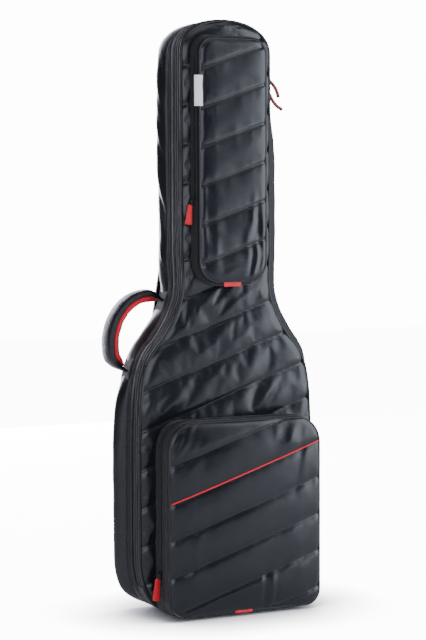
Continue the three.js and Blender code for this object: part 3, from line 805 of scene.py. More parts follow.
guard_rubber = rubber_finish("guard_rubber", (0.011, 0.011, 0.012), roughness=0.55, pebble=0.0016)


def low_run(line, top):
    """The part of a closed line below a level, from its left end round to its right end."""
    left = line[(line[:, 0] <= 0) & (line[:, 1] < top)]
    right = line[(line[:, 0] > 0) & (line[:, 1] < top)]
    run = np.vstack([left, right])
    return run[np.argsort(np.arctan2(run[:, 0], 0.3 - run[:, 1]))]


def guard_strip(name, body, node):
    low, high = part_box(node)
    near, far = low[1], high[1]
    run = low_run(edge, guard_top)
    depths = np.linspace(near, far, 18)
    rim = np.minimum(depths - near, far - depths)
    welt = guard_welt * np.exp(-(((rim - 0.0022) / 0.0011) ** 2)) - 0.0011 * np.exp(-rim / 0.0004)
    ends = np.minimum(np.arange(len(run)), np.arange(len(run))[::-1]) * edge_step
    thin = np.clip(ends / 0.004, 0.35, 1)
    outer = guard_stand + (guard_sheet + welt[None, :] - 0.0003) * thin[:, None]
    outs = np.hstack([outer, np.full((len(run), 2), guard_stand)])
    strip = band(name, run, outs, np.append(depths, [far, near]), guard_rubber, False)
    dress(strip, body, "guard_rubber", node)


guard_strip("lid_base_guard", "lid", "lid_guard")

# The lid is lined with a thin brushed tricot sheet, glued to the foam's inner face.
# Its nap takes the light softly, and it is held flat by a line of stitches round its edge.


def lining_finish(name, colour):
    material, tree, shader = new_finish(name)
    place = made(tree, "TexCoord", "Object", {})
    nap = patches(tree, place, 420, 8)
    colour = toned(tree, patches(tree, place, 9), colour, 0.75, 1.2)
    surfaced(tree, shader, colour, nap, 0.4, 0.0008, 0.92, 0.6, 0.4)
    return material


lining_nap = 0.0003
lining_row_step = 0.012
lining_columns = 32
tricot = lining_finish("grey_brushed_lining", (0.06, 0.062, 0.068))


def lining_sheet(name, body, node, inward, seed):
    """A flat sheet glued to the foam: inward is the way along Y that its soft face looks."""
    low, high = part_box(node)
    glued, soft = (low[1], high[1]) if inward > 0 else (high[1], low[1])
    x, z = panel_rows(edge, gusset_thickness + lining_nap, lining_row_step, lining_columns)
    face = soft - inward * (lining_nap + 0.0004 * ripple(x / 0.05, z / 0.07, seed))
    dress(padded_panel(name, x, z, face, glued, tricot), body, "lining", node)


lining_sheet("lid_inner_sheet", "lid", "lid_lining", 1, 61)

# The back half carries the other side of the zip, then a smooth nylon side over soft foam.
# That side is cut a little long, so it bulges, and at the neck it hangs in slanting folds.
# Two tucked seams part it from the ribbed band beside the zip.
smooth_side_start = 0.0075
back_side_folds = (-0.0025, 0.0035)
back_side_seams = ((0.0005, 0.002, 0.0009), (smooth_side_start, 0.0028, 0.0014))
ribbed_depths = np.linspace(zip_plane + sewing_gap, smooth_side_start, 26)
smooth_depths = np.linspace(smooth_side_start + sewing_gap, bag_back - cord_room, 30)
smooth_side_limit = 0.0175
waist_level = 0.7
neck_start = 0.6
side_nylon = nylon_finish("side_nylon", (0.01, 0.0105, 0.014), roughness=0.3, bump=0.2, rub=0.05)


def make_back_ribbed_side():
    depths = ribbed_depths
    profile = ribs(depths, back_side_folds, 0.0014, 0.0027)
    for seam in back_side_seams:
        profile += tuck(depths, *seam)
    profile -= side_set_in * (depths < zip_plane + zip_tape_width)
    layers = (0.0007, 0.035, 0.012, 43), (0.0006, 0.12, 0.02, 44)
    outer = profile[None, :] + side_ripples(depths, zip_plane, 0.006, *layers) - side_set_in
    return band("back_ribbed_side", edge, *skin_section(outer, depths, gusset_thickness), ribbed_tape)


def make_back_smooth_side():
    depths = smooth_depths
    share = (depths - depths[0]) / (depths[-1] - depths[0])
    along = np.arange(len(edge)) * edge_step
    u, v = np.meshgrid(along, depths, indexing="ij")
    level = np.repeat(edge[:, 1:], len(depths), axis=1)
    swell = (np.sin(math.pi * np.clip(share, 0, 1) ** 1.3) ** 0.6)[None, :]
    hips = np.exp(-(((level - 0.2) / 0.23) ** 4))
    waist = np.exp(-(((level - waist_level) / 0.055) ** 2))
    neck = 1 / (1 + np.exp(-(level - neck_start) / 0.03))
    lifted = np.clip((level - base_level) / 0.05, 0, 1)
    lifted = lifted * lifted * (3 - 2 * lifted)
    lifted = lifted * (1 - 0.8 * np.clip((level - 0.97) / 0.06, 0, 1))
    bulge = (0.0085 + 0.0075 * hips - 0.004 * waist) * swell * lifted
    slant = u + 2.2 * (v - depths[0])
    loose = (0.0008 + 0.0010 * neck) * ripple(slant / 0.05, v / 0.03, 45) * swell
    loose += 0.0012 * ripple(slant / 0.024, v / 0.03, 46) * neck * swell
    loose += 0.0012 * ripple(u / 0.16, v / 0.06, 47) * swell
    full = bulge + loose * lifted
    for node in ("handle_patch_top", "handle_patch_bottom"):
        low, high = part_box(node)
        near = np.exp(-(((level - (low[2] + high[2]) / 2) / 0.04) ** 2)) * (edge[:, :1] < 0)
        full = full * (1 - 0.9 * near)
    ends = tuck(share, 0, 0.0024, 0.03) + tuck(share, 1, 0.0012, 0.04)
    outer = np.minimum(full + ends[None, :], smooth_side_limit)
    return band("back_smooth_side", edge, *skin_section(outer, depths, gusset_thickness), side_nylon)


dress(make_back_ribbed_side(), "back", "zip_tape", "back_gusset")
dress(make_back_smooth_side(), "back", "nylon", fill=0.5)
dress(zip_teeth("back_zip_teeth", zip_run, 0.0, zip_plane, 1), "back", "zip_tape", "back_zip")

# On the straight right side there is no zip: a doubled nylon strip joins the two halves.
# It is sewn flat over the seam and it is what the lid turns on, so it bends with the lid.
hinge_reach = 0.012
hinge_stand = 0.0016
hinge_bow = 0.0009


def dress_across(piece, nodes):
    """Hides the solids that a piece bending between two bodies stands for, and bakes its place into its
    mesh.
    """
    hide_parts(*nodes)
    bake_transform(piece)


def make_hinge_fabric():
    levels = np.linspace(hinge_low, hinge_high, 48)
    line = np.stack([np.full(48, hip_half), levels], axis=1)
    depths = np.linspace(zip_plane - hinge_reach, zip_plane + hinge_reach, 25)
    bow = -tuck(depths, zip_plane, hinge_bow, 0.004)
    rim = np.minimum(depths - depths[0], depths[-1] - depths)
    welt = -0.0008 * np.exp(-rim / 0.0006)
    u, v = np.meshgrid(levels - levels.mean(), depths, indexing="ij")
    pucker = 0.00025 * ripple(u / 0.008, v / 0.01, 71)
    outer = hinge_stand + bow[None, :] + welt[None, :] + pucker
    outs = np.hstack([outer, np.full((48, 2), 0.0004)])
    return band("hinge_fabric", line, outs, np.append(depths, depths[[-1, 0]]), edge_nylon, False)


dress_across(
    make_hinge_fabric(),
    ["hinge_strip"],
)

# The back panel is the same padded nylon, plain and unquilted, closed by its own corded edge.
# It carries the straps' seams, and the foam behind it is soft enough to dimple at its edge.
back_crown = 0.003
back_row_step = 0.006
back_columns = 56
back_roll = (0.018, 0.005)


def make_back_cover():
    x, z = panel_rows(edge, panel_inset, back_row_step, back_columns)
    away = clearance(x, z, edge)
    half = np.interp(z[:, 0], *outline_half())[:, None]
    crown = back_crown * np.cos(np.clip(x / half, -1, 1) * math.pi / 2) - 0.0028
    wave = 0.0012 * ripple(x / 0.08, z / 0.1, 81)
    pucker = 0.0006 * ripple(x / 0.02, z / 0.02, 82) * np.exp(-away / 0.02)
    flat = np.exp(-((x / 0.13) ** 2) - ((z - 0.45) / 0.34) ** 4)
    face = bag_back + (crown + wave + pucker) * (1 - flat)
    face = face - rolled_edge(away, *back_roll) - 0.0004 * flat
    return padded_panel("back_cover", x, z, face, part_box("back_panel")[0][1], nylon)


dress(make_back_cover(), "back", "nylon", "back_panel", fill=0.7)
back_piping = corded_edge("back_cording", edge, piping_radius, bag_back - piping_lie, 52)
dress(back_piping, "back", "nylon", "back_piping")
guard_strip("back_base_guard", "back", "base_guard")
lining_sheet("back_inner_sheet", "back", "back_lining", -1, 62)

# The upper pocket holds papers over the neck. Its padded front is quilted like the lid.
# Its side is ribbed tape sewn to the lid, and the left stretch of that side is a zip.
# Unzipped, the front gapes away from the lid on its right side, and the cloth gives.
pocket_step = 0.003
pocket_wall = 0.005
pocket_piping_radius = 0.0025
pocket_piping_lie = 0.0027
pocket_inset = 0.0038
pocket_held_rim = 0.006
pocket_softness = 0.0045
pocket_roll = (0.014, 0.0042)
pocket_puff = 0.0019
pocket_face_limits = (-0.0115, 0.0042)
tape_gap = 0.0003


def round_cornered(low, high, low_radius, high_radius):
    """The closed outline of a box's front, with its own radii at its lower and upper corners."""
    (left, _, bottom), (right, _, top) = low, high
    corners = []
    for x, z, radius, start in (
        (right - low_radius, bottom + low_radius, low_radius, -90),
        (right - high_radius, top - high_radius, high_radius, 0),
        (left + high_radius, top - high_radius, high_radius, 90),
        (left + low_radius, bottom + low_radius, low_radius, 180),
    ):
        turns = np.radians(start + np.linspace(0, 90, 13))
        corners.append(np.stack([x + radius * np.cos(turns), z + radius * np.sin(turns)], axis=1))
    return evenly(np.vstack(corners), pocket_step, True)


def part_of(line, keep):
    """The unbroken stretch of a closed line where keep is true."""
    start = np.nonzero(keep & ~np.roll(keep, 1))[0][0]
    turned = np.roll(line, -start, axis=0)
    return turned[np.roll(keep, -start)]


def levelled(line, low, high):
    """The same open line with its two ends brought exactly to the given levels."""
    line = line.copy()
    line[0, 1] = low
    line[-1, 1] = high
    return line


def zip_of(front_node, base_node):
    """Where a pocket's zip parts, and the lowest and highest level of its tape."""
    low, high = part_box(base_node)
    return (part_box(front_node)[1][1] + low[1]) / 2, low[2], high[2]


def make_quilted_front(
    name, body, node, line, seams, crown, bow, loose_patches, row_step, columns
):
    low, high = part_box(node)
    seed = seams[-1]
    x, z = panel_rows(line, pocket_inset, row_step, columns)
    away = clearance(x, z, line)
    quilt = pocket_puff * quilting(x, z, *seams, pocket_softness)
    rise = crown * np.clip((away - 0.003) / 0.03, 0, 1) ** 0.6
    across = (x - x.min() / 2 - x.max() / 2) / (x.max() - x.min()) * 2
    rise = rise + bow * (1 - across**2) * np.clip(away / 0.045, 0, 1) ** 0.8
    loose = folds(x, z, loose_patches, seed + 2)
    fine = 0.0002 * ripple(x / 0.03, z / 0.03, seed + 3)
    face = low[1] - rise - quilt - loose - fine + rolled_edge(away, *pocket_roll)
    face = np.clip(face, low[1] + pocket_face_limits[0], low[1] + pocket_face_limits[1])
    cloth = {"pressure": 0.8, "spare": 0.0, "reach": 0.003, "stiffness": 3.0}
    piece = quilted_pad(name, x, z, face, high[1], line, seams, pocket_held_rim, cloth)
    return dress(piece, body, "nylon", node, fill=0.7)


def make_pocket_piping(name, body, node, line, front, seed):
    piping = corded_edge(name, line, pocket_piping_radius, front + pocket_piping_lie, seed)
    dress(piping, body, "nylon", node)


def flare(depths, front, draft):
    """How far a pocket's side has widened at each depth, up to its draft at the lid."""
    return draft * (depths - front) / (lid_front - front)


def make_pocket_side(name, line, near, far, pocket, seed, closed=False):
    """A pocket's ribbed side, with tucks beside the zip and a fold next to the piping."""
    front, zip_depth, draft = pocket
    depths = np.linspace(near, far, max(int((far - near) / 0.0009), 8))
    profile = ribs(depths, (zip_depth - 0.0075, zip_depth + 0.0075), 0.001, 0.0022)
    profile += tuck(np.abs(depths - zip_depth), 0.0102, 0.0012, 0.0009)
    profile += flare(depths, front, draft) - 0.0004
    u, v = np.meshgrid(np.arange(len(line)) * pocket_step, depths, indexing="ij")
    loose = 0.0006 * ripple(u / 0.022, v / 0.012, seed)
    loose += 0.0007 * ripple(u / 0.09, v / 0.03, seed + 1)
    held = np.exp(-((depths - zip_depth) / 0.005) ** 2)
    outer = profile[None, :] + loose * (1 - held[None, :])
    inner = flare(depths[[-1, 0]], front, draft) - pocket_wall
    outs = np.hstack([outer, np.repeat(inner[None, :], len(line), axis=0)])
    return band(name, line, outs, np.append(depths, depths[[-1, 0]]), ribbed_tape, closed)


def make_pocket_teeth(name, pocket, line, flap):
    """The two rows of teeth of a pocket's zip, on the lid and on its front."""
    front, zip_depth, draft = pocket
    surface = flare(zip_depth, front, draft)
    for half, side, body, tape in (("lid", 1, "lid", "base"), ("front", -1, flap, "front")):
        teeth = zip_teeth(f"{name}_zip_teeth_{half}", line, surface, zip_depth, side)
        dress(teeth, body, "zip_tape", f"{name}_zip_{tape}")


upper_low, upper_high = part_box("upper_pocket_piping")
upper_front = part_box("upper_pocket_front")[0][1]
upper_zip_plane, upper_zip_low, upper_zip_high = zip_of("upper_zip_front", "upper_zip_base")
upper_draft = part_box("upper_pocket_base")[1][0] - upper_high[0]
upper_pocket = (upper_front, upper_zip_plane, upper_draft)
upper_edge = round_cornered(upper_low, upper_high, 0.04, 0.028)
upper_quilt_level = 0.647
upper_quilt_slope = 0.34
upper_quilt_spacing = 0.069
upper_folds = (
    (0.045, 0.66, 0.02, 0.06, 4, 0.014, 0.0032),
    (-0.04, 0.70, 0.02, 0.08, -6, 0.02, 0.0016),
    (0.0, 0.62, 0.05, 0.02, 70, 0.018, 0.0015),
    (0.02, 0.86, 0.05, 0.1, 60, 0.03, 0.0012),
)
make_quilted_front(
    "upper_pocket_cover",
    "upper_flap",
    "upper_pocket_front",
    upper_edge,
    seams=(upper_quilt_level, upper_quilt_slope, upper_quilt_spacing, 111),
    crown=0.0012,
    bow=0.0,
    loose_patches=upper_folds,
    row_step=0.0034,
    columns=52,
)
make_pocket_piping(
    "upper_pocket_cording", "upper_flap", "upper_pocket_piping", upper_edge, upper_front, 53
)
upper_wall_front = upper_front + 2 * pocket_piping_radius + tape_gap
upper_wall_back = lid_front - tape_gap
zipped = (upper_edge[:, 0] < upper_low[0] + 0.0005) & (
    (upper_edge[:, 1] > upper_zip_low) & (upper_edge[:, 1] < upper_zip_high)
)
round_upper = levelled(part_of(upper_edge, ~zipped), upper_zip_low, upper_zip_high)
upper_left = np.array([(upper_low[0], upper_zip_high), (upper_low[0], upper_zip_low)])
upper_left_line = evenly(upper_left, pocket_step, False)
dress_across(
    make_pocket_side(
        "upper_pocket_side", round_upper, upper_wall_front, upper_wall_back, upper_pocket, 121
    ),
    ["upper_pocket_wall", "upper_pocket_base"],
)
for name, body, near, far, seed in (
    ("upper_zip_side_on_lid", "lid", upper_zip_plane + sewing_gap, upper_wall_back, 123),
    ("upper_zip_side_on_front", "upper_flap", upper_wall_front, upper_zip_plane - sewing_gap, 124),
):
    dress(make_pocket_side(name, upper_left_line, near, far, upper_pocket, seed), body, "zip_tape")
make_pocket_teeth("upper", upper_pocket, upper_left, "upper_flap")

# The lower pocket is the big one on the body: a quilted front on a deep ribbed side.
# Its zip runs up the left, over the top and down the right, and the floor stays sewn.
# Unzipped, the front folds down on its bottom edge.
lower_low, lower_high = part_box("lower_pocket_piping")
lower_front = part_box("lower_pocket_front")[0][1]
lower_zip_plane, lower_zip_low, _ = zip_of("lower_zip_front", "lower_zip_base")
lower_floor_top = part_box("lower_pocket_floor")[1][2]
lower_pocket = (lower_front, lower_zip_plane, 0.0)
lower_edge = round_cornered(lower_low, lower_high, 0.03, 0.05)
lower_middle = (lower_low[0] + lower_high[0]) / 2
accent_radius = 0.0016
accent_low, accent_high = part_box("accent_piping")
accent_rise = accent_high[2] - accent_low[2] - 2 * accent_radius
accent_slope = accent_rise / (accent_high[0] - accent_low[0])
accent_level = (accent_high[2] + accent_low[2]) / 2 - accent_slope * lower_middle
lower_quilt_spacing = 0.066
lower_folds = (
    (-0.11, 0.30, 0.03, 0.05, 30, 0.018, 0.002),
    (-0.10, 0.12, 0.03, 0.09, 15, 0.022, 0.0018),
    (0.10, 0.10, 0.05, 0.07, 40, 0.03, 0.0016),
    (0.0, 0.03, 0.12, 0.02, 80, 0.02, 0.0014),
    (0.12, 0.25, 0.03, 0.08, 20, 0.02, 0.0012),
    (0.085, 0.318, 0.03, 0.022, 12, 0.02, 0.0042),
    (0.05, 0.04, 0.02, 0.03, 8, 0.018, 0.0034),
)
lower_cover = make_quilted_front(
    "lower_pocket_cover",
    "lower_flap",
    "lower_pocket_front",
    lower_edge,
    seams=(accent_level, accent_slope, lower_quilt_spacing, 141),
    crown=0.0014,
    bow=0.005,
    loose_patches=lower_folds,
    row_step=0.0036,
    columns=88,
)
make_pocket_piping(
    "lower_pocket_cording", "lower_flap", "lower_pocket_piping", lower_edge, lower_front, 54
)
lower_base = make_pocket_side(
    "lower_pocket_side_on_lid",
    lower_edge,
    lower_zip_plane + sewing_gap,
    lid_front - tape_gap,
    lower_pocket,
    151,
    True,
)
dress(lower_base, "lid", "zip_tape", "lower_pocket_base")
lower_wall_front = lower_front + 2 * pocket_piping_radius + tape_gap
lower_wall_low = lower_floor_top + tape_gap
lower_round = part_of(lower_edge, lower_edge[:, 1] > lower_wall_low)
lower_under = part_of(lower_edge, lower_edge[:, 1] < lower_floor_top)
for name, body, node, line, level, seed in (
    ("lower_pocket_side_on_front", "lower_flap", "lower_pocket_wall", lower_round, lower_wall_low, 153),
    ("lower_pocket_bottom", "lid", "lower_pocket_floor", lower_under, lower_floor_top, 155),
):
    line = levelled(line, level, level)
    far = lower_zip_plane - sewing_gap
    side = make_pocket_side(name, line, lower_wall_front, far, lower_pocket, seed)
    dress(side, body, "zip_tape", node)
lower_zip_run = part_of(lower_edge, lower_edge[:, 1] > lower_zip_low)
make_pocket_teeth("lower", lower_pocket, lower_zip_run, "lower_flap")

# Trim on the pockets: a thin red piping across the lower front, sewn into one quilting seam,
# and two folded red ribbons and a white woven label caught in the seams.
# The piping follows the cloth under it, so its depth is found on the cloth's finished face.


def trim_finish(name, colour, roughness, thread_size):
    material, tree, shader = new_finish(name)
    place = made(tree, "TexCoord", "Object", {})
    cords = bands(tree, place, thread_size, 0.5, "DIAGONAL")
    colour = toned(tree, patches(tree, place, 45, 4), colour, 0.8, 1.12)
    surfaced(tree, shader, colour, cords, 0.5, thread_size / 3, roughness, 0.2)
    return material


red_trim = trim_finish("red_trim", (0.8, 0.004, 0.012), roughness=0.5, thread_size=0.0007)
label_weave = trim_finish("white_woven_label", (0.95, 0.95, 0.94), roughness=0.6, thread_size=0.0006)


def found_on(piece, x, z):
    """The depth of a piece's face at each place, seen from the front."""
    hits = [piece.ray_cast(Vector((a, -1, b)), Vector((0, 1, 0))) for a, b in zip(x, z)]
    known = np.array([hit[0] for hit in hits])
    depths = np.array([hit[1].y for hit in hits])
    return np.interp(np.arange(len(x)), np.nonzero(known)[0], depths[known])


def make_accent():
    x = np.linspace(accent_low[0] + 0.0005, accent_high[0] - 0.0005, 110)
    z = accent_level + accent_slope * x
    depth = found_on(lower_cover, x, z)
    depth = np.convolve(np.pad(depth, 3, mode="edge"), np.ones(7) / 7, "valid")
    depth = np.minimum(depth - 0.0004, lower_front + 0.0005)
    turns = np.linspace(0, 2 * math.pi, 10, endpoint=False)
    depths = depth[:, None] + accent_radius * np.cos(turns)
    line = np.stack([x, z], axis=1)
    outs = accent_radius * np.sin(turns)
    return band("accent_cording", line, outs, depths, red_trim, False, 180)


def box_parts(node):
    """A solid's lowest and highest corners, its middle and its half size."""
    low, high = np.array(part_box(node))
    return low, high, (low + high) / 2, (high - low) / 2


ribbon_sheet = 0.0012
ribbon_back = 0.0021
label_sheet = 0.0006


def make_ribbon(name, body, node):
    low, high, middle, half = box_parts(node)
    x = np.linspace(low[0], high[0], 30)
    line = np.stack([x, np.full(30, middle[2])], axis=1)
    rise = np.linspace(0, math.pi, 9)
    outs = np.append(-0.98 * half[2] * np.cos(rise), [half[2], -half[2]])
    deep = np.append(ribbon_sheet * (1 - np.sin(rise) * 0.9), [ribbon_back, ribbon_back])
    wave = 0.0004 * ripple(x / 0.009, x * 0 + 0.5, int(1000 * high[0]) % 97)
    ribbon = band(name, line, outs, low[1] + deep + wave[:, None], red_trim, False, 60)
    dress(ribbon, body, "red_trim", node)


def make_label():
    low, high, middle, half = box_parts("label")
    levels = np.linspace(high[2], low[2], 34)
    line = np.stack([np.full(34, middle[0]), levels], axis=1)
    share = np.linspace(-1, 1, 11)
    outs = half[0] * np.concatenate([share, share[::-1]])
    face = low[1] + 0.0001 + 0.0012 * np.clip(-share, 0, 1) ** 2
    deep = np.concatenate([face, face[::-1] + label_sheet])
    wave = 0.0005 * ripple(levels / 0.03, levels * 0 + 0.5, 17)[:, None]
    return band("blank_label", line, -outs, deep + wave, label_weave, False, 40)


dress(make_accent(), "lower_flap", "red_trim", "accent_piping")
make_ribbon("upper_ribbon_tab", "upper_flap", "upper_ribbon")
make_ribbon("lower_ribbon_tab", "lower_flap", "lower_ribbon")
dress(make_label(), "upper_flap", "label_cloth", "label")

# Each zip has a cast metal slider painted black: a shield-shaped body under an arched bridge.
# A wire loop hangs from the bridge, and a soft moulded tab is fixed on the loop.
# The tabs are red; the two on the main zip are slim and curved, the pockets' are flared.


def painted_metal(name, colour, roughness, speck):
    material, tree, shader = new_finish(name)
    grain = patches(tree, made(tree, "TexCoord", "Object", {}), speck, 6)
    inputs = {"Base Color": toned(tree, grain, colour, 1, 2.2, (0.35, 0.75)), "Metallic": 0.85}
    inputs["Roughness"] = ranged(tree, grain, roughness - 0.08, roughness + 0.15)
    feed(tree, shader, inputs)
    return material


black_metal = painted_metal("black_painted_metal", (0.03, 0.03, 0.033), roughness=0.32, speck=500)
# The main zip's two tabs take a darker copy of the red trim: painted shade, for tabs that face away
# from the light.
shaded_red = trim_finish("shaded_red_trim", (0.2, 0.008, 0.016), roughness=0.42, thread_size=0.0007)


def moulded(name, outline, thickness, rounding, place, finish):
    """A plate with rounded edges; place turns (a, b, height) into a point of the bag."""
    outline = np.array(outline, float)
    away = outwards(outline)
    turns = np.linspace(0, math.pi / 2, 4)
    levels = [(rounding * (1 - math.sin(a)), rounding * (1 - math.cos(a))) for a in turns]
    levels += [
        (rounding * (1 - math.cos(a)), thickness - rounding * (1 - math.sin(a))) for a in turns
    ]
    places = []
    for inset, height in levels:
        places += [place(a, b, height) for a, b in outline - inset * away]
    faces = tube_faces(len(levels), len(outline), False)
    return finish_mesh(name, places, faces, finish, 40)


def tube(name, points, radius, finish, closed=False, flat=1.0, around=(0, 1, 0)):
    """A round or flattened rod along points in space; around is never along the points."""
    sides = 10
    points = np.array(points, float)
    if closed:
        run = np.roll(points, -1, axis=0) - np.roll(points, 1, axis=0)
    else:
        run = np.gradient(points, axis=0)
    run = run / np.linalg.norm(run, axis=1, keepdims=True)
    first = np.cross(run, np.array(around, float))
    first = first / np.linalg.norm(first, axis=1, keepdims=True)
    second = np.cross(first, run)
    radii = np.broadcast_to(radius, len(points))
    turns = np.linspace(0, 2 * math.pi, sides, endpoint=False)
    places = []
    for spot, a, b, size in zip(points, first, second, radii):
        places += [spot + size * (math.cos(t) * a + flat * math.sin(t) * b) for t in turns]
    return finish_mesh(name, places, tube_faces(len(points), sides, closed), finish, 60)


def joined(name, *pieces):
    """Several meshes as one piece."""
    for piece in pieces:
        piece.select_set(True)
    bpy.context.view_layer.objects.active = pieces[0]
    with bpy.context.temp_override(active_object=pieces[0], selected_editable_objects=pieces):
        bpy.ops.object.join()
    pieces[0].name = name
    pieces[0].data.name = name
    pieces[0].select_set(False)
    return pieces[0]


bridge_radius = 0.0009
bridge_rise = 0.0021
bridge_reach = 0.0042
shield_corners = ((0.55, -1), (0.72, -0.45), (1, 0.05), (0.96, 0.7), (0.45, 1))


def make_slider(name, body, node):
    low, high, middle, half = box_parts(node)
    side = 1 if low[0] > 0 else -1
    seat = low[0] if side > 0 else high[0]
    sheet = high[0] - low[0]
    mirrored = [(-a, b) for a, b in shield_corners[::-1]]
    shield = np.array([mirrored[-1], *shield_corners, *mirrored]) * half[1:]

    def on_wall(a, b, height):
        return (seat + side * height, middle[1] + side * a, middle[2] + b)

    outline = smooth_line(shield, 4)[:-1]
    plate = moulded(name, outline, sheet * 0.75, sheet * 0.25, on_wall, black_metal)
    arch = []
    for t in np.linspace(0, math.pi, 13):
        out = seat + side * (0.6 * sheet + bridge_rise * math.sin(t))
        arch.append((out, middle[1], middle[2] + bridge_reach * math.cos(t) + 0.0012))
    bridge = tube(name + "_bridge", arch, bridge_radius, black_metal, flat=1.8)
    dress(joined(name, plate, bridge), body, "dark_metal", node)


record_joints = {joint["name"]: joint for joint in frame["joints"]}


def hanger(body, node, tilt):
    """The turn of a pull about its pivot, with x outwards from the wall, and its side."""
    side = 1 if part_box(node)[0][0] > 0 else -1
    pivot = Vector(record_joints[f"{body}_swing"]["pos_m"])
    return Matrix.Translation(pivot) @ Matrix.Rotation(math.radians(-side * tilt), 4, "Y"), side


wire_radius = 0.0011


def make_loop(name, body, node, tilt):
    """The wire loop: a long ring, a little wider where the tab grips it."""
    turn, _ = hanger(body, node, tilt)
    ring = []
    for t in np.linspace(0, 2 * math.pi, 36, endpoint=False):
        wide = 0.0042 + 0.0008 * math.sin(t / 2) ** 4
        ring.append(turn @ Vector((0, wide * math.sin(t), -0.006 + 0.006 * math.cos(t))))
    loop = tube(name, ring, wire_radius, black_metal, closed=True, around=(1, 0, 0.02))
    dress(loop, body, "dark_metal", node)


tab_drop = 0.0102
tab_across = (-1, -0.93, -0.6, 0, 0.6, 0.93, 1, 0.93, 0.6, 0, -0.6, -0.93)
tab_rise = (0, 0.6, 0.95, 1, 0.95, 0.6, 0, -0.6, -0.95, -1, -0.95, -0.6)


def make_tab(name, body, node, loop_node, tilt, sizes):
    length, top_width, low_width, bow, thick, finish = sizes
    turn, side = hanger(body, loop_node, tilt)
    share = np.linspace(0, 1, 30)
    width = top_width + (low_width - top_width) * share**1.3
    width = width * np.clip(0.55 + 9 * share, 0, 1)
    middle = 0.0003 + (low_width / 2 - top_width / 2) * 0.4 * share
    middle = side * (middle + bow * np.sin(math.pi * share) * 0.5 - bow * share**3 * 0.6)
    line = np.stack([middle, -tab_drop - length * share], axis=1)
    corner, rise = np.array(tab_across), np.array(tab_rise)
    lip = 1 + 0.35 * np.exp(-(((share - 0.96) / 0.03) ** 2)) + 0.5 * np.exp(-((share / 0.08) ** 2))
    tip = np.clip((1.004 - share) / 0.03, 0.3, 1)
    outs = width[:, None] / 2 * corner * np.clip(tip + 0.35, 0, 1)[:, None]
    ridge = 0.12 * thick * np.exp(-((corner / 0.25) ** 2)) * np.sign(rise)
    depths = thick / 2 * rise * (lip * tip)[:, None] + ridge
    dress(band(name, line, outs, depths, finish, False, 60, turn), body, "red_trim", node)


# Each zip's pieces: their first words, the slider's node, the pull's tilt, and the tab's length,
# its width at the top and at the end, its bow, its thickness and its finish.
zip_pulls = (
    ("main_high", "main_slider_high", "main_high", "high", 38,
     (0.039, 0.0064, 0.0072, 0.0055, 0.003, shaded_red)),
    ("main_low", "main_slider_low", "main_low", "low", 38,
     (0.039, 0.0064, 0.0068, -0.006, 0.003, shaded_red)),
    ("upper_pocket", "upper_slider", "upper", "upper", 4,
     (0.036, 0.0095, 0.0145, 0.0, 0.0034, red_trim)),
    ("lower_pocket", "lower_slider", "lower", "lower", 4,
     (0.040, 0.0095, 0.0145, 0.0, 0.0034, red_trim)),
)
for piece, slider, _, body, _, _ in zip_pulls:
    make_slider(f"{piece}_slider", f"{body}_slider", slider)
for piece, _, node, body, tilt, _ in zip_pulls:
    make_loop(f"{piece}_loop", f"{body}_pull", f"{node}_bail", tilt)
for piece, _, node, body, tilt, sizes in zip_pulls:
    make_tab(f"{piece}_tab", f"{body}_pull", f"{node}_pull", f"{node}_bail", tilt, sizes)

# The carry handle is a strip of nylon over foam, bent into an arch on the bag's left side.
# Its inner face is a round red pad. Both ends narrow to webbing that is sewn to patches.
# The arch swings on those ends, so they bend where they leave the patches.
handle_joint = record_joints["handle_swing"]
handle_pivot = Vector(handle_joint["pos_m"])
handle_along = np.array([handle_joint["axis"][0], handle_joint["axis"][2]])
handle_out = np.array([handle_along[1], -handle_along[0]])
tab_half_length = 0.008
handle_reach = 0.064
handle_step = 0.0028
cover_sheet = 0.0105
cover_half_width = 0.0205
pad_sheet = 0.012
pad_half_width = 0.0195
arch_inset = -0.003
arch_along = (0, 0, 0.005, 0.03, 0.13, 0.27, 0.44, 0.58, 0.74, 0.87, 0.97, 0.995, 1, 1)
arch_out = (0, 0.16, 0.33, 0.52, 0.76, 0.93, 1, 0.985, 0.89, 0.74, 0.56, 0.33, 0.16, 0)


def handle_foot(node):
    return box_parts(node)[2][[0, 2]] - handle_out * tab_half_length


top_foot = handle_foot("handle_tab_top")
bottom_foot = handle_foot("handle_tab_bottom")
arch_spots = [
    top_foot + (bottom_foot - top_foot) * along + handle_out * handle_reach * out
    for along, out in zip(arch_along, arch_out)
]
handle_arch = evenly(smooth_line(arch_spots, 12), handle_step, False)
handle_nylon = nylon_finish("handle_nylon", (0.009, 0.0095, 0.012), roughness=0.42, bump=0.4, rub=0.08)
pad_cloth = trim_finish("red_pad_cloth", (0.7, 0.001, 0.02), roughness=0.6, thread_size=0.0009)


def from_ends(line):
    """The share along the handle at each point of a line of it, and the way to the nearest end."""
    share = np.linspace(0, 1, len(line))
    return share, np.minimum(share, 1 - share) * (len(handle_arch) - 1) * handle_step


def make_handle_cover():
    share, end = from_ends(handle_arch)
    wide = cover_half_width * (0.5 + 0.5 * np.clip((end - 0.006) / 0.024, 0, 1) ** 0.7)
    thick = cover_sheet * (0.42 + 0.58 * np.clip((end - 0.004) / 0.02, 0, 1))
    t = np.linspace(0, math.pi, 19)
    across = np.append(-np.cos(t), [0.97, 0.5, 0, -0.5, -0.97])
    rise = np.append(np.sin(t) ** 0.45 - 0.35, np.full(5, -0.45))
    u, v = np.meshgrid(share * 28, across * 2, indexing="ij")
    outs = thick[:, None] * rise - arch_inset + 0.00035 * ripple(u, v, 161)
    depths = handle_pivot.y + wide[:, None] * across
    return band("handle_grip", handle_arch, outs, depths, handle_nylon, False, 60)


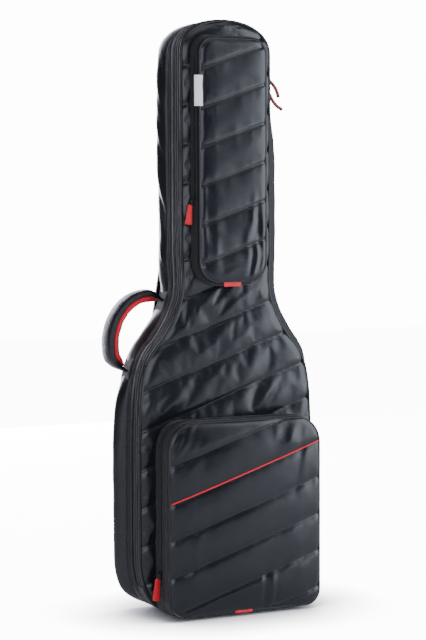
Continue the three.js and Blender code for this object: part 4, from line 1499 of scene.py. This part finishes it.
def make_handle_pad():
    arch = handle_arch[4:-4]
    share, end = from_ends(arch)
    wide = pad_half_width * (0.5 + 0.5 * np.clip(end / 0.022, 0, 1) ** 0.6)
    thick = pad_sheet * (0.3 + 0.7 * np.clip(end / 0.02, 0, 1) ** 0.7)
    t = np.linspace(0, 2 * math.pi, 22, endpoint=False)
    across = np.sign(np.cos(t)) * np.abs(np.cos(t)) ** 0.5
    rise = np.sign(np.sin(t)) * np.abs(np.sin(t)) ** 0.5
    middle = -0.4 * cover_sheet - arch_inset - thick / 2
    u, v = np.meshgrid(share * 16, across * 1.5, indexing="ij")
    outs = middle[:, None] + thick[:, None] / 2 * rise + 0.0005 * ripple(u, v, 163) * (rise < 0)
    depths = handle_pivot.y + wide[:, None] * across
    return band("handle_red_pad", arch, outs, depths, pad_cloth, False, 180)


for piece, slot, nodes in (
    (make_handle_cover(), "nylon", ("handle_cover", "handle_tab_top", "handle_tab_bottom")),
    (make_handle_pad(), "red_trim", ("handle_pad",)),
):
    dress_across(piece, nodes)

# Each end of the handle is anchored on a square patch of doubled nylon, sewn round its rim.
# The threads are thick bonded nylon and lie in short stitches that dip into the cloth.
stitch_pitch = 0.0043
thread_radius = 0.00035
stitch_profile = ((0.08, 0.45), (0.3, 1), (0.62, 1), (0.84, 0.45))
thread_finish = trim_finish("black_thread", (0.03, 0.03, 0.033), roughness=0.5, thread_size=0.0004)


def stitching(name, path, out):
    """Short stitches on the back half, each dipping into the cloth at both ends."""
    path = evenly(np.array(path, float), stitch_pitch, False)
    out = np.array(out, float)
    turns = np.radians((0, 90, 180, 270))
    places = []
    faces = []
    for a, b in zip(path[:-1], path[1:]):
        side = np.cross((b - a) / np.linalg.norm(b - a), out)
        faces += [tuple(len(places) + k for k in face) for face in tube_faces(4, 4, False)]
        for share, size in stitch_profile:
            spot = a + (b - a) * share + out * thread_radius * (2 * size - 1.6)
            places += [
                spot + thread_radius * size * (math.cos(t) * side + math.sin(t) * out) for t in turns
            ]
    dress(finish_mesh(name, places, faces, thread_finish, 180), "back", "nylon")


patch_step = 0.002
patch_seam_inset = 0.003
patch_seam_lift = 0.0021
patch_cloth = ribbed_finish("black_patch_cloth", (0.006, 0.006, 0.007), roughness=0.7)


def side_stretch(level_low, level_high):
    """The left side of the bag's edge between two levels, from the top down."""
    fine = evenly(edge[edge[:, 0] < 0], patch_step, False)
    return fine[(fine[:, 1] > level_low) & (fine[:, 1] < level_high)]


def make_handle_patch(name, node):
    low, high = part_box(node)
    run = side_stretch(low[2] - 0.0005, high[2] + 0.0005)
    count = len(run)
    depths = np.linspace(low[1], high[1], 21)
    end = np.minimum(np.arange(count), np.arange(count)[::-1]) * patch_step
    rim = np.minimum(np.minimum(depths - low[1], high[1] - depths)[None, :], end[:, None])
    pillow = 0.0012 + 0.0011 * np.clip(rim / 0.003, 0, 1) ** 0.5
    seam = tuck(rim, patch_seam_inset, 0.0005, 0.0008)
    outs = np.hstack([pillow + seam, np.full((count, 2), 0.0002)])
    patch = band(name, run, outs, np.append(depths, depths[[-1, 0]]), patch_cloth, False, 50)
    dress(patch, "back", "nylon", node)
    across = outwards(run, False)
    lifted = (run + patch_seam_lift * across)[2:-2]
    near = low[1] + patch_seam_inset
    far = high[1] - patch_seam_inset
    path = [(x, near, z) for x, z in lifted] + [(x, far, z) for x, z in lifted[::-1]]
    out = across[count // 2]
    stitching(name + "_stitches", path + path[:1], (out[0], 0, out[1]))


make_handle_patch("handle_top_patch", "handle_patch_top")
make_handle_patch("handle_bottom_patch", "handle_patch_bottom")

# Two padded shoulder straps lie flat on the back: foam in nylon, bound at the edge.
# They are caught under a sewn yoke, and each narrows to webbing through a ladder buckle.
# The webbing ends under a patch near the base.
pad_top_half = 0.031
strap_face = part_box("strap_pad_left")[0][1]
strap_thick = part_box("strap_pad_left")[1][1] - strap_face
pad_curve = ((0.04, 0.7), (0.076, 0.526), (0.092, 0.352))
strap_step = 0.003
webbing_half = 0.0125
webbing_inset = 0.0118
webbing_tuck = 0.0018


def make_strap_pad(name, node, side):
    t = np.linspace(0, 1, 130)[:, None]
    a, b, c = (np.array(spot) * (side, 1) for spot in pad_curve)
    line = evenly((1 - t) ** 2 * a + 2 * (1 - t) * t * b + t**2 * c, strap_step, False)
    count = len(line)
    from_top = np.arange(count) * strap_step
    from_low = from_top[::-1]
    round_low = np.sqrt(np.clip(1 - (1 - np.clip(from_low / 0.022, 0, 1)) ** 2, 0.12, 1))
    half = pad_top_half * round_low
    across = np.linspace(-1, 1, 33)
    away = (1 - np.abs(across))[None, :] * half[:, None]
    end = np.minimum(from_low, from_top + 0.004)[:, None]
    rim = np.minimum(away, end)
    dome = 0.35 + 0.65 * np.clip((rim - 0.004) / 0.012, 0, 1) ** 0.55
    binding = np.exp(-(((rim - 0.0015) / 0.0016) ** 2)) * 0.12
    channels = 0.82 + 0.18 * np.clip(np.abs(np.sin(from_top * math.pi / 0.058)) / 0.18, 0, 1)
    channels = np.where(rim > 0.007, channels[:, None], 1)
    u, v = np.meshgrid(from_top / 0.03, across * 1.2, indexing="ij")
    height = strap_thick * (dome * channels + binding) * 0.93 + 0.0004 * ripple(u, v, 171)
    lift = strap_face + 0.0002
    outs = np.hstack([half[:, None] * across[None, :], half[:, None] * np.array([[1, -1]])])
    depths = np.hstack([lift + height, np.full((count, 2), lift)])
    dress(band(name, line, outs, depths, nylon, False, 60), "back", "nylon", node, fill=0.8)


webbing_weave = ribbed_finish("black_webbing", (0.014, 0.014, 0.016), roughness=0.55)
moulded_plastic = rubber_finish(
    "black_moulded_plastic", (0.012, 0.012, 0.013), roughness=0.35, pebble=0.0009
)


def make_webbing(name, node, side):
    low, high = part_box(node)
    near, far = sorted((abs(low[0]), abs(high[0])))
    top = (side * (near + webbing_inset), high[2] - webbing_tuck)
    foot = (side * (far - webbing_inset), low[2] + webbing_tuck)
    line = evenly(np.array([top, foot]), strap_step, False)
    share = np.linspace(0, 1, len(line))
    wave = np.abs(0.0006 * np.sin(share * 19) * np.sin(share * math.pi))[:, None]
    across = np.linspace(-1, 1, 13)
    edge_roll = 0.75 + 0.25 * np.sqrt(np.clip(1 - np.abs(across) ** 6, 0, 1))
    face = low[1] + (high[1] - low[1]) * edge_roll + wave
    outs = webbing_half * np.append(across, across[::-1])
    depths = np.hstack([face, np.repeat(low[1] + 0.0001 + wave, 13, axis=1)])
    dress(band(name, line, outs, depths, webbing_weave, False), "back", "webbing", node)


buckle_corner = 0.0045
buckle_frame = 0.0024
buckle_bar = 0.0018
buckle_teeth = 25


def make_buckle(name, node):
    """A ladder buckle: a rounded frame with two bars and a toothed one, for the webbing."""
    _, _, (across, depth, level), half = box_parts(node)
    wide, tall = half[0] - buckle_frame, half[2] - buckle_frame
    ring = []
    for x, z, start in ((1, -1, -90), (1, 1, 0), (-1, 1, 90), (-1, -1, 180)):
        for angle in np.radians(start + np.linspace(0, 90, 7)):
            out = x * (wide - buckle_corner) + buckle_corner * math.cos(angle)
            up = z * (tall - buckle_corner) + buckle_corner * math.sin(angle)
            ring.append((across + out, depth, level + up))
    parts = [tube(name, ring, half[1] * 0.9, moulded_plastic, closed=True)]
    for k, share in enumerate((-0.12, 0.42)):
        spots = [
            (across + wide * x, depth + 0.0012 * (1 - x * x), level + tall * share)
            for x in np.linspace(-1, 1, 11)
        ]
        parts.append(tube(f"{name}_bar{k}", spots, buckle_bar, moulded_plastic))
    teeth = [
        (across + wide * x, depth + 0.0016, level - tall * 0.62)
        for x in np.linspace(-1, 1, buckle_teeth)
    ]
    sizes = 0.0016 + 0.0004 * (np.arange(buckle_teeth) % 2)
    parts.append(tube(f"{name}_grip", teeth, sizes, moulded_plastic))
    dress(joined(name, *parts), "back", "buckle_plastic", node)


plate_corner = 0.004
plate_inset = 0.0042


def sewn_plate(name, node, finish, crosses=1):
    """A flat patch of doubled cloth with a soft rim, sewn round its rim and crosswise."""
    low, high = np.array(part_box(node))
    sheet = high[1] - low[1]
    outline = round_cornered(low, high, plate_corner, plate_corner)

    def on_back(a, b, height):
        return (a, low[1] + height, b)

    plate = moulded(name, outline, sheet, min(0.0009, sheet * 0.4), on_back, finish)
    dress(plate, "back", "nylon", node)
    inner = round_cornered(low + plate_inset, high - plate_inset, plate_corner, plate_corner)
    path = [(x, high[1], z) for x, z in inner]
    stitching(name + "_stitches", path + path[:1], (0, 1, 0))
    (left, _, bottom), (right, _, top) = low + plate_inset, high - plate_inset
    corners = np.linspace(left, right, crosses + 1)
    spots = list(zip(corners[:-1], corners[1:]))
    cross = [ends for a, b in spots for ends in (((a, bottom), (b, top)), ((a, top), (b, bottom)))]
    for k, ends in enumerate(cross):
        stitching(f"{name}_cross{k}", [(x, high[1], z) for x, z in ends], (0, 1, 0))


for hand, side in (("left", -1), ("right", 1)):
    make_strap_pad(f"shoulder_pad_{hand}", f"strap_pad_{hand}", side)
    make_webbing(f"strap_webbing_{hand}", f"webbing_{hand}", side)
    make_buckle(f"ladder_buckle_{hand}", f"buckle_{hand}")
    sewn_plate(f"webbing_anchor_{hand}", f"webbing_patch_{hand}", edge_nylon)
sewn_plate("shoulder_yoke", "strap_yoke", nylon, 3)

# Inside, the guitar's neck lies in a foam cradle covered in the lining, under a soft strap
# with hook-and-loop ends. A firm bumper of the same foam takes its tail at the base.
groove_half = 0.03
groove_depth = 0.016
cradle_soft = 0.005
bumper_soft = 0.006


def make_cradle():
    low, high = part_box("neck_rest")
    half = high[0]
    groove = np.linspace(-groove_half + 0.001, groove_half - 0.001, 26)
    flank = np.linspace(groove_half, half, 14)
    x = np.concatenate([-flank[::-1], groove, flank])
    dip = 1 / (1 + np.exp((np.abs(x) - groove_half + 0.001) / 0.0014))
    shoulder = cradle_soft * np.clip(1 - (half - np.abs(x)) / 0.012, 0, 1) ** 2
    profile = low[1] + 0.0003 + groove_depth * dip + shoulder
    levels = np.linspace(low[2], high[2], 25)
    end = np.minimum(levels - levels[0], levels[-1] - levels)
    roll = cradle_soft * np.clip(1 - end / 0.01, 0, 1) ** 2
    depth = np.minimum(profile[None, :] + roll[:, None], high[1] - 0.001)
    xx, zz = np.meshgrid(x, levels)
    depth = depth + 0.0003 * ripple(xx / 0.02, zz / 0.02, 181) + 0.0003
    return padded_panel("neck_cradle", xx, zz, depth, high[1], tricot)


def make_neck_strap():
    low, high, middle, half = box_parts("neck_strap")
    x = np.linspace(low[0], high[0], 60)
    line = np.stack([x, np.full(60, middle[2])], axis=1)
    across = np.linspace(-1, 1, 9)
    sag = 0.0001 + 0.0004 * np.cos(x / high[0] * math.pi / 2)[:, None]
    face = low[1] + sag + 0.0002 * (np.abs(across) > 0.8)
    under = np.repeat(low[1] + (high[1] - low[1]) * 0.7 + sag, 9, axis=1)
    outs = half[2] * np.append(across, across[::-1])
    return band("neck_strap_webbing", line, outs, np.hstack([face, under]), webbing_weave, False)


def make_bumper():
    low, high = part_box("tail_bumper")
    x, z = np.meshgrid(np.linspace(low[0], high[0], 54), np.linspace(low[2], high[2], 18))
    rim = np.minimum(np.minimum(x - low[0], high[0] - x), np.minimum(z - low[2], high[2] - z))
    soft = bumper_soft * np.clip(1 - rim / 0.01, 0, 1) ** 2
    face = low[1] + 0.0006 + soft + 0.0004 * ripple(x / 0.025, z / 0.02, 183)
    return padded_panel("tail_cushion", x, z, face, high[1], tricot)


dress(make_cradle(), "back", "lining", "neck_rest", fill=0.9)
dress(make_neck_strap(), "back", "webbing", "neck_strap")
dress(make_bumper(), "back", "lining", "tail_bumper", fill=0.9)
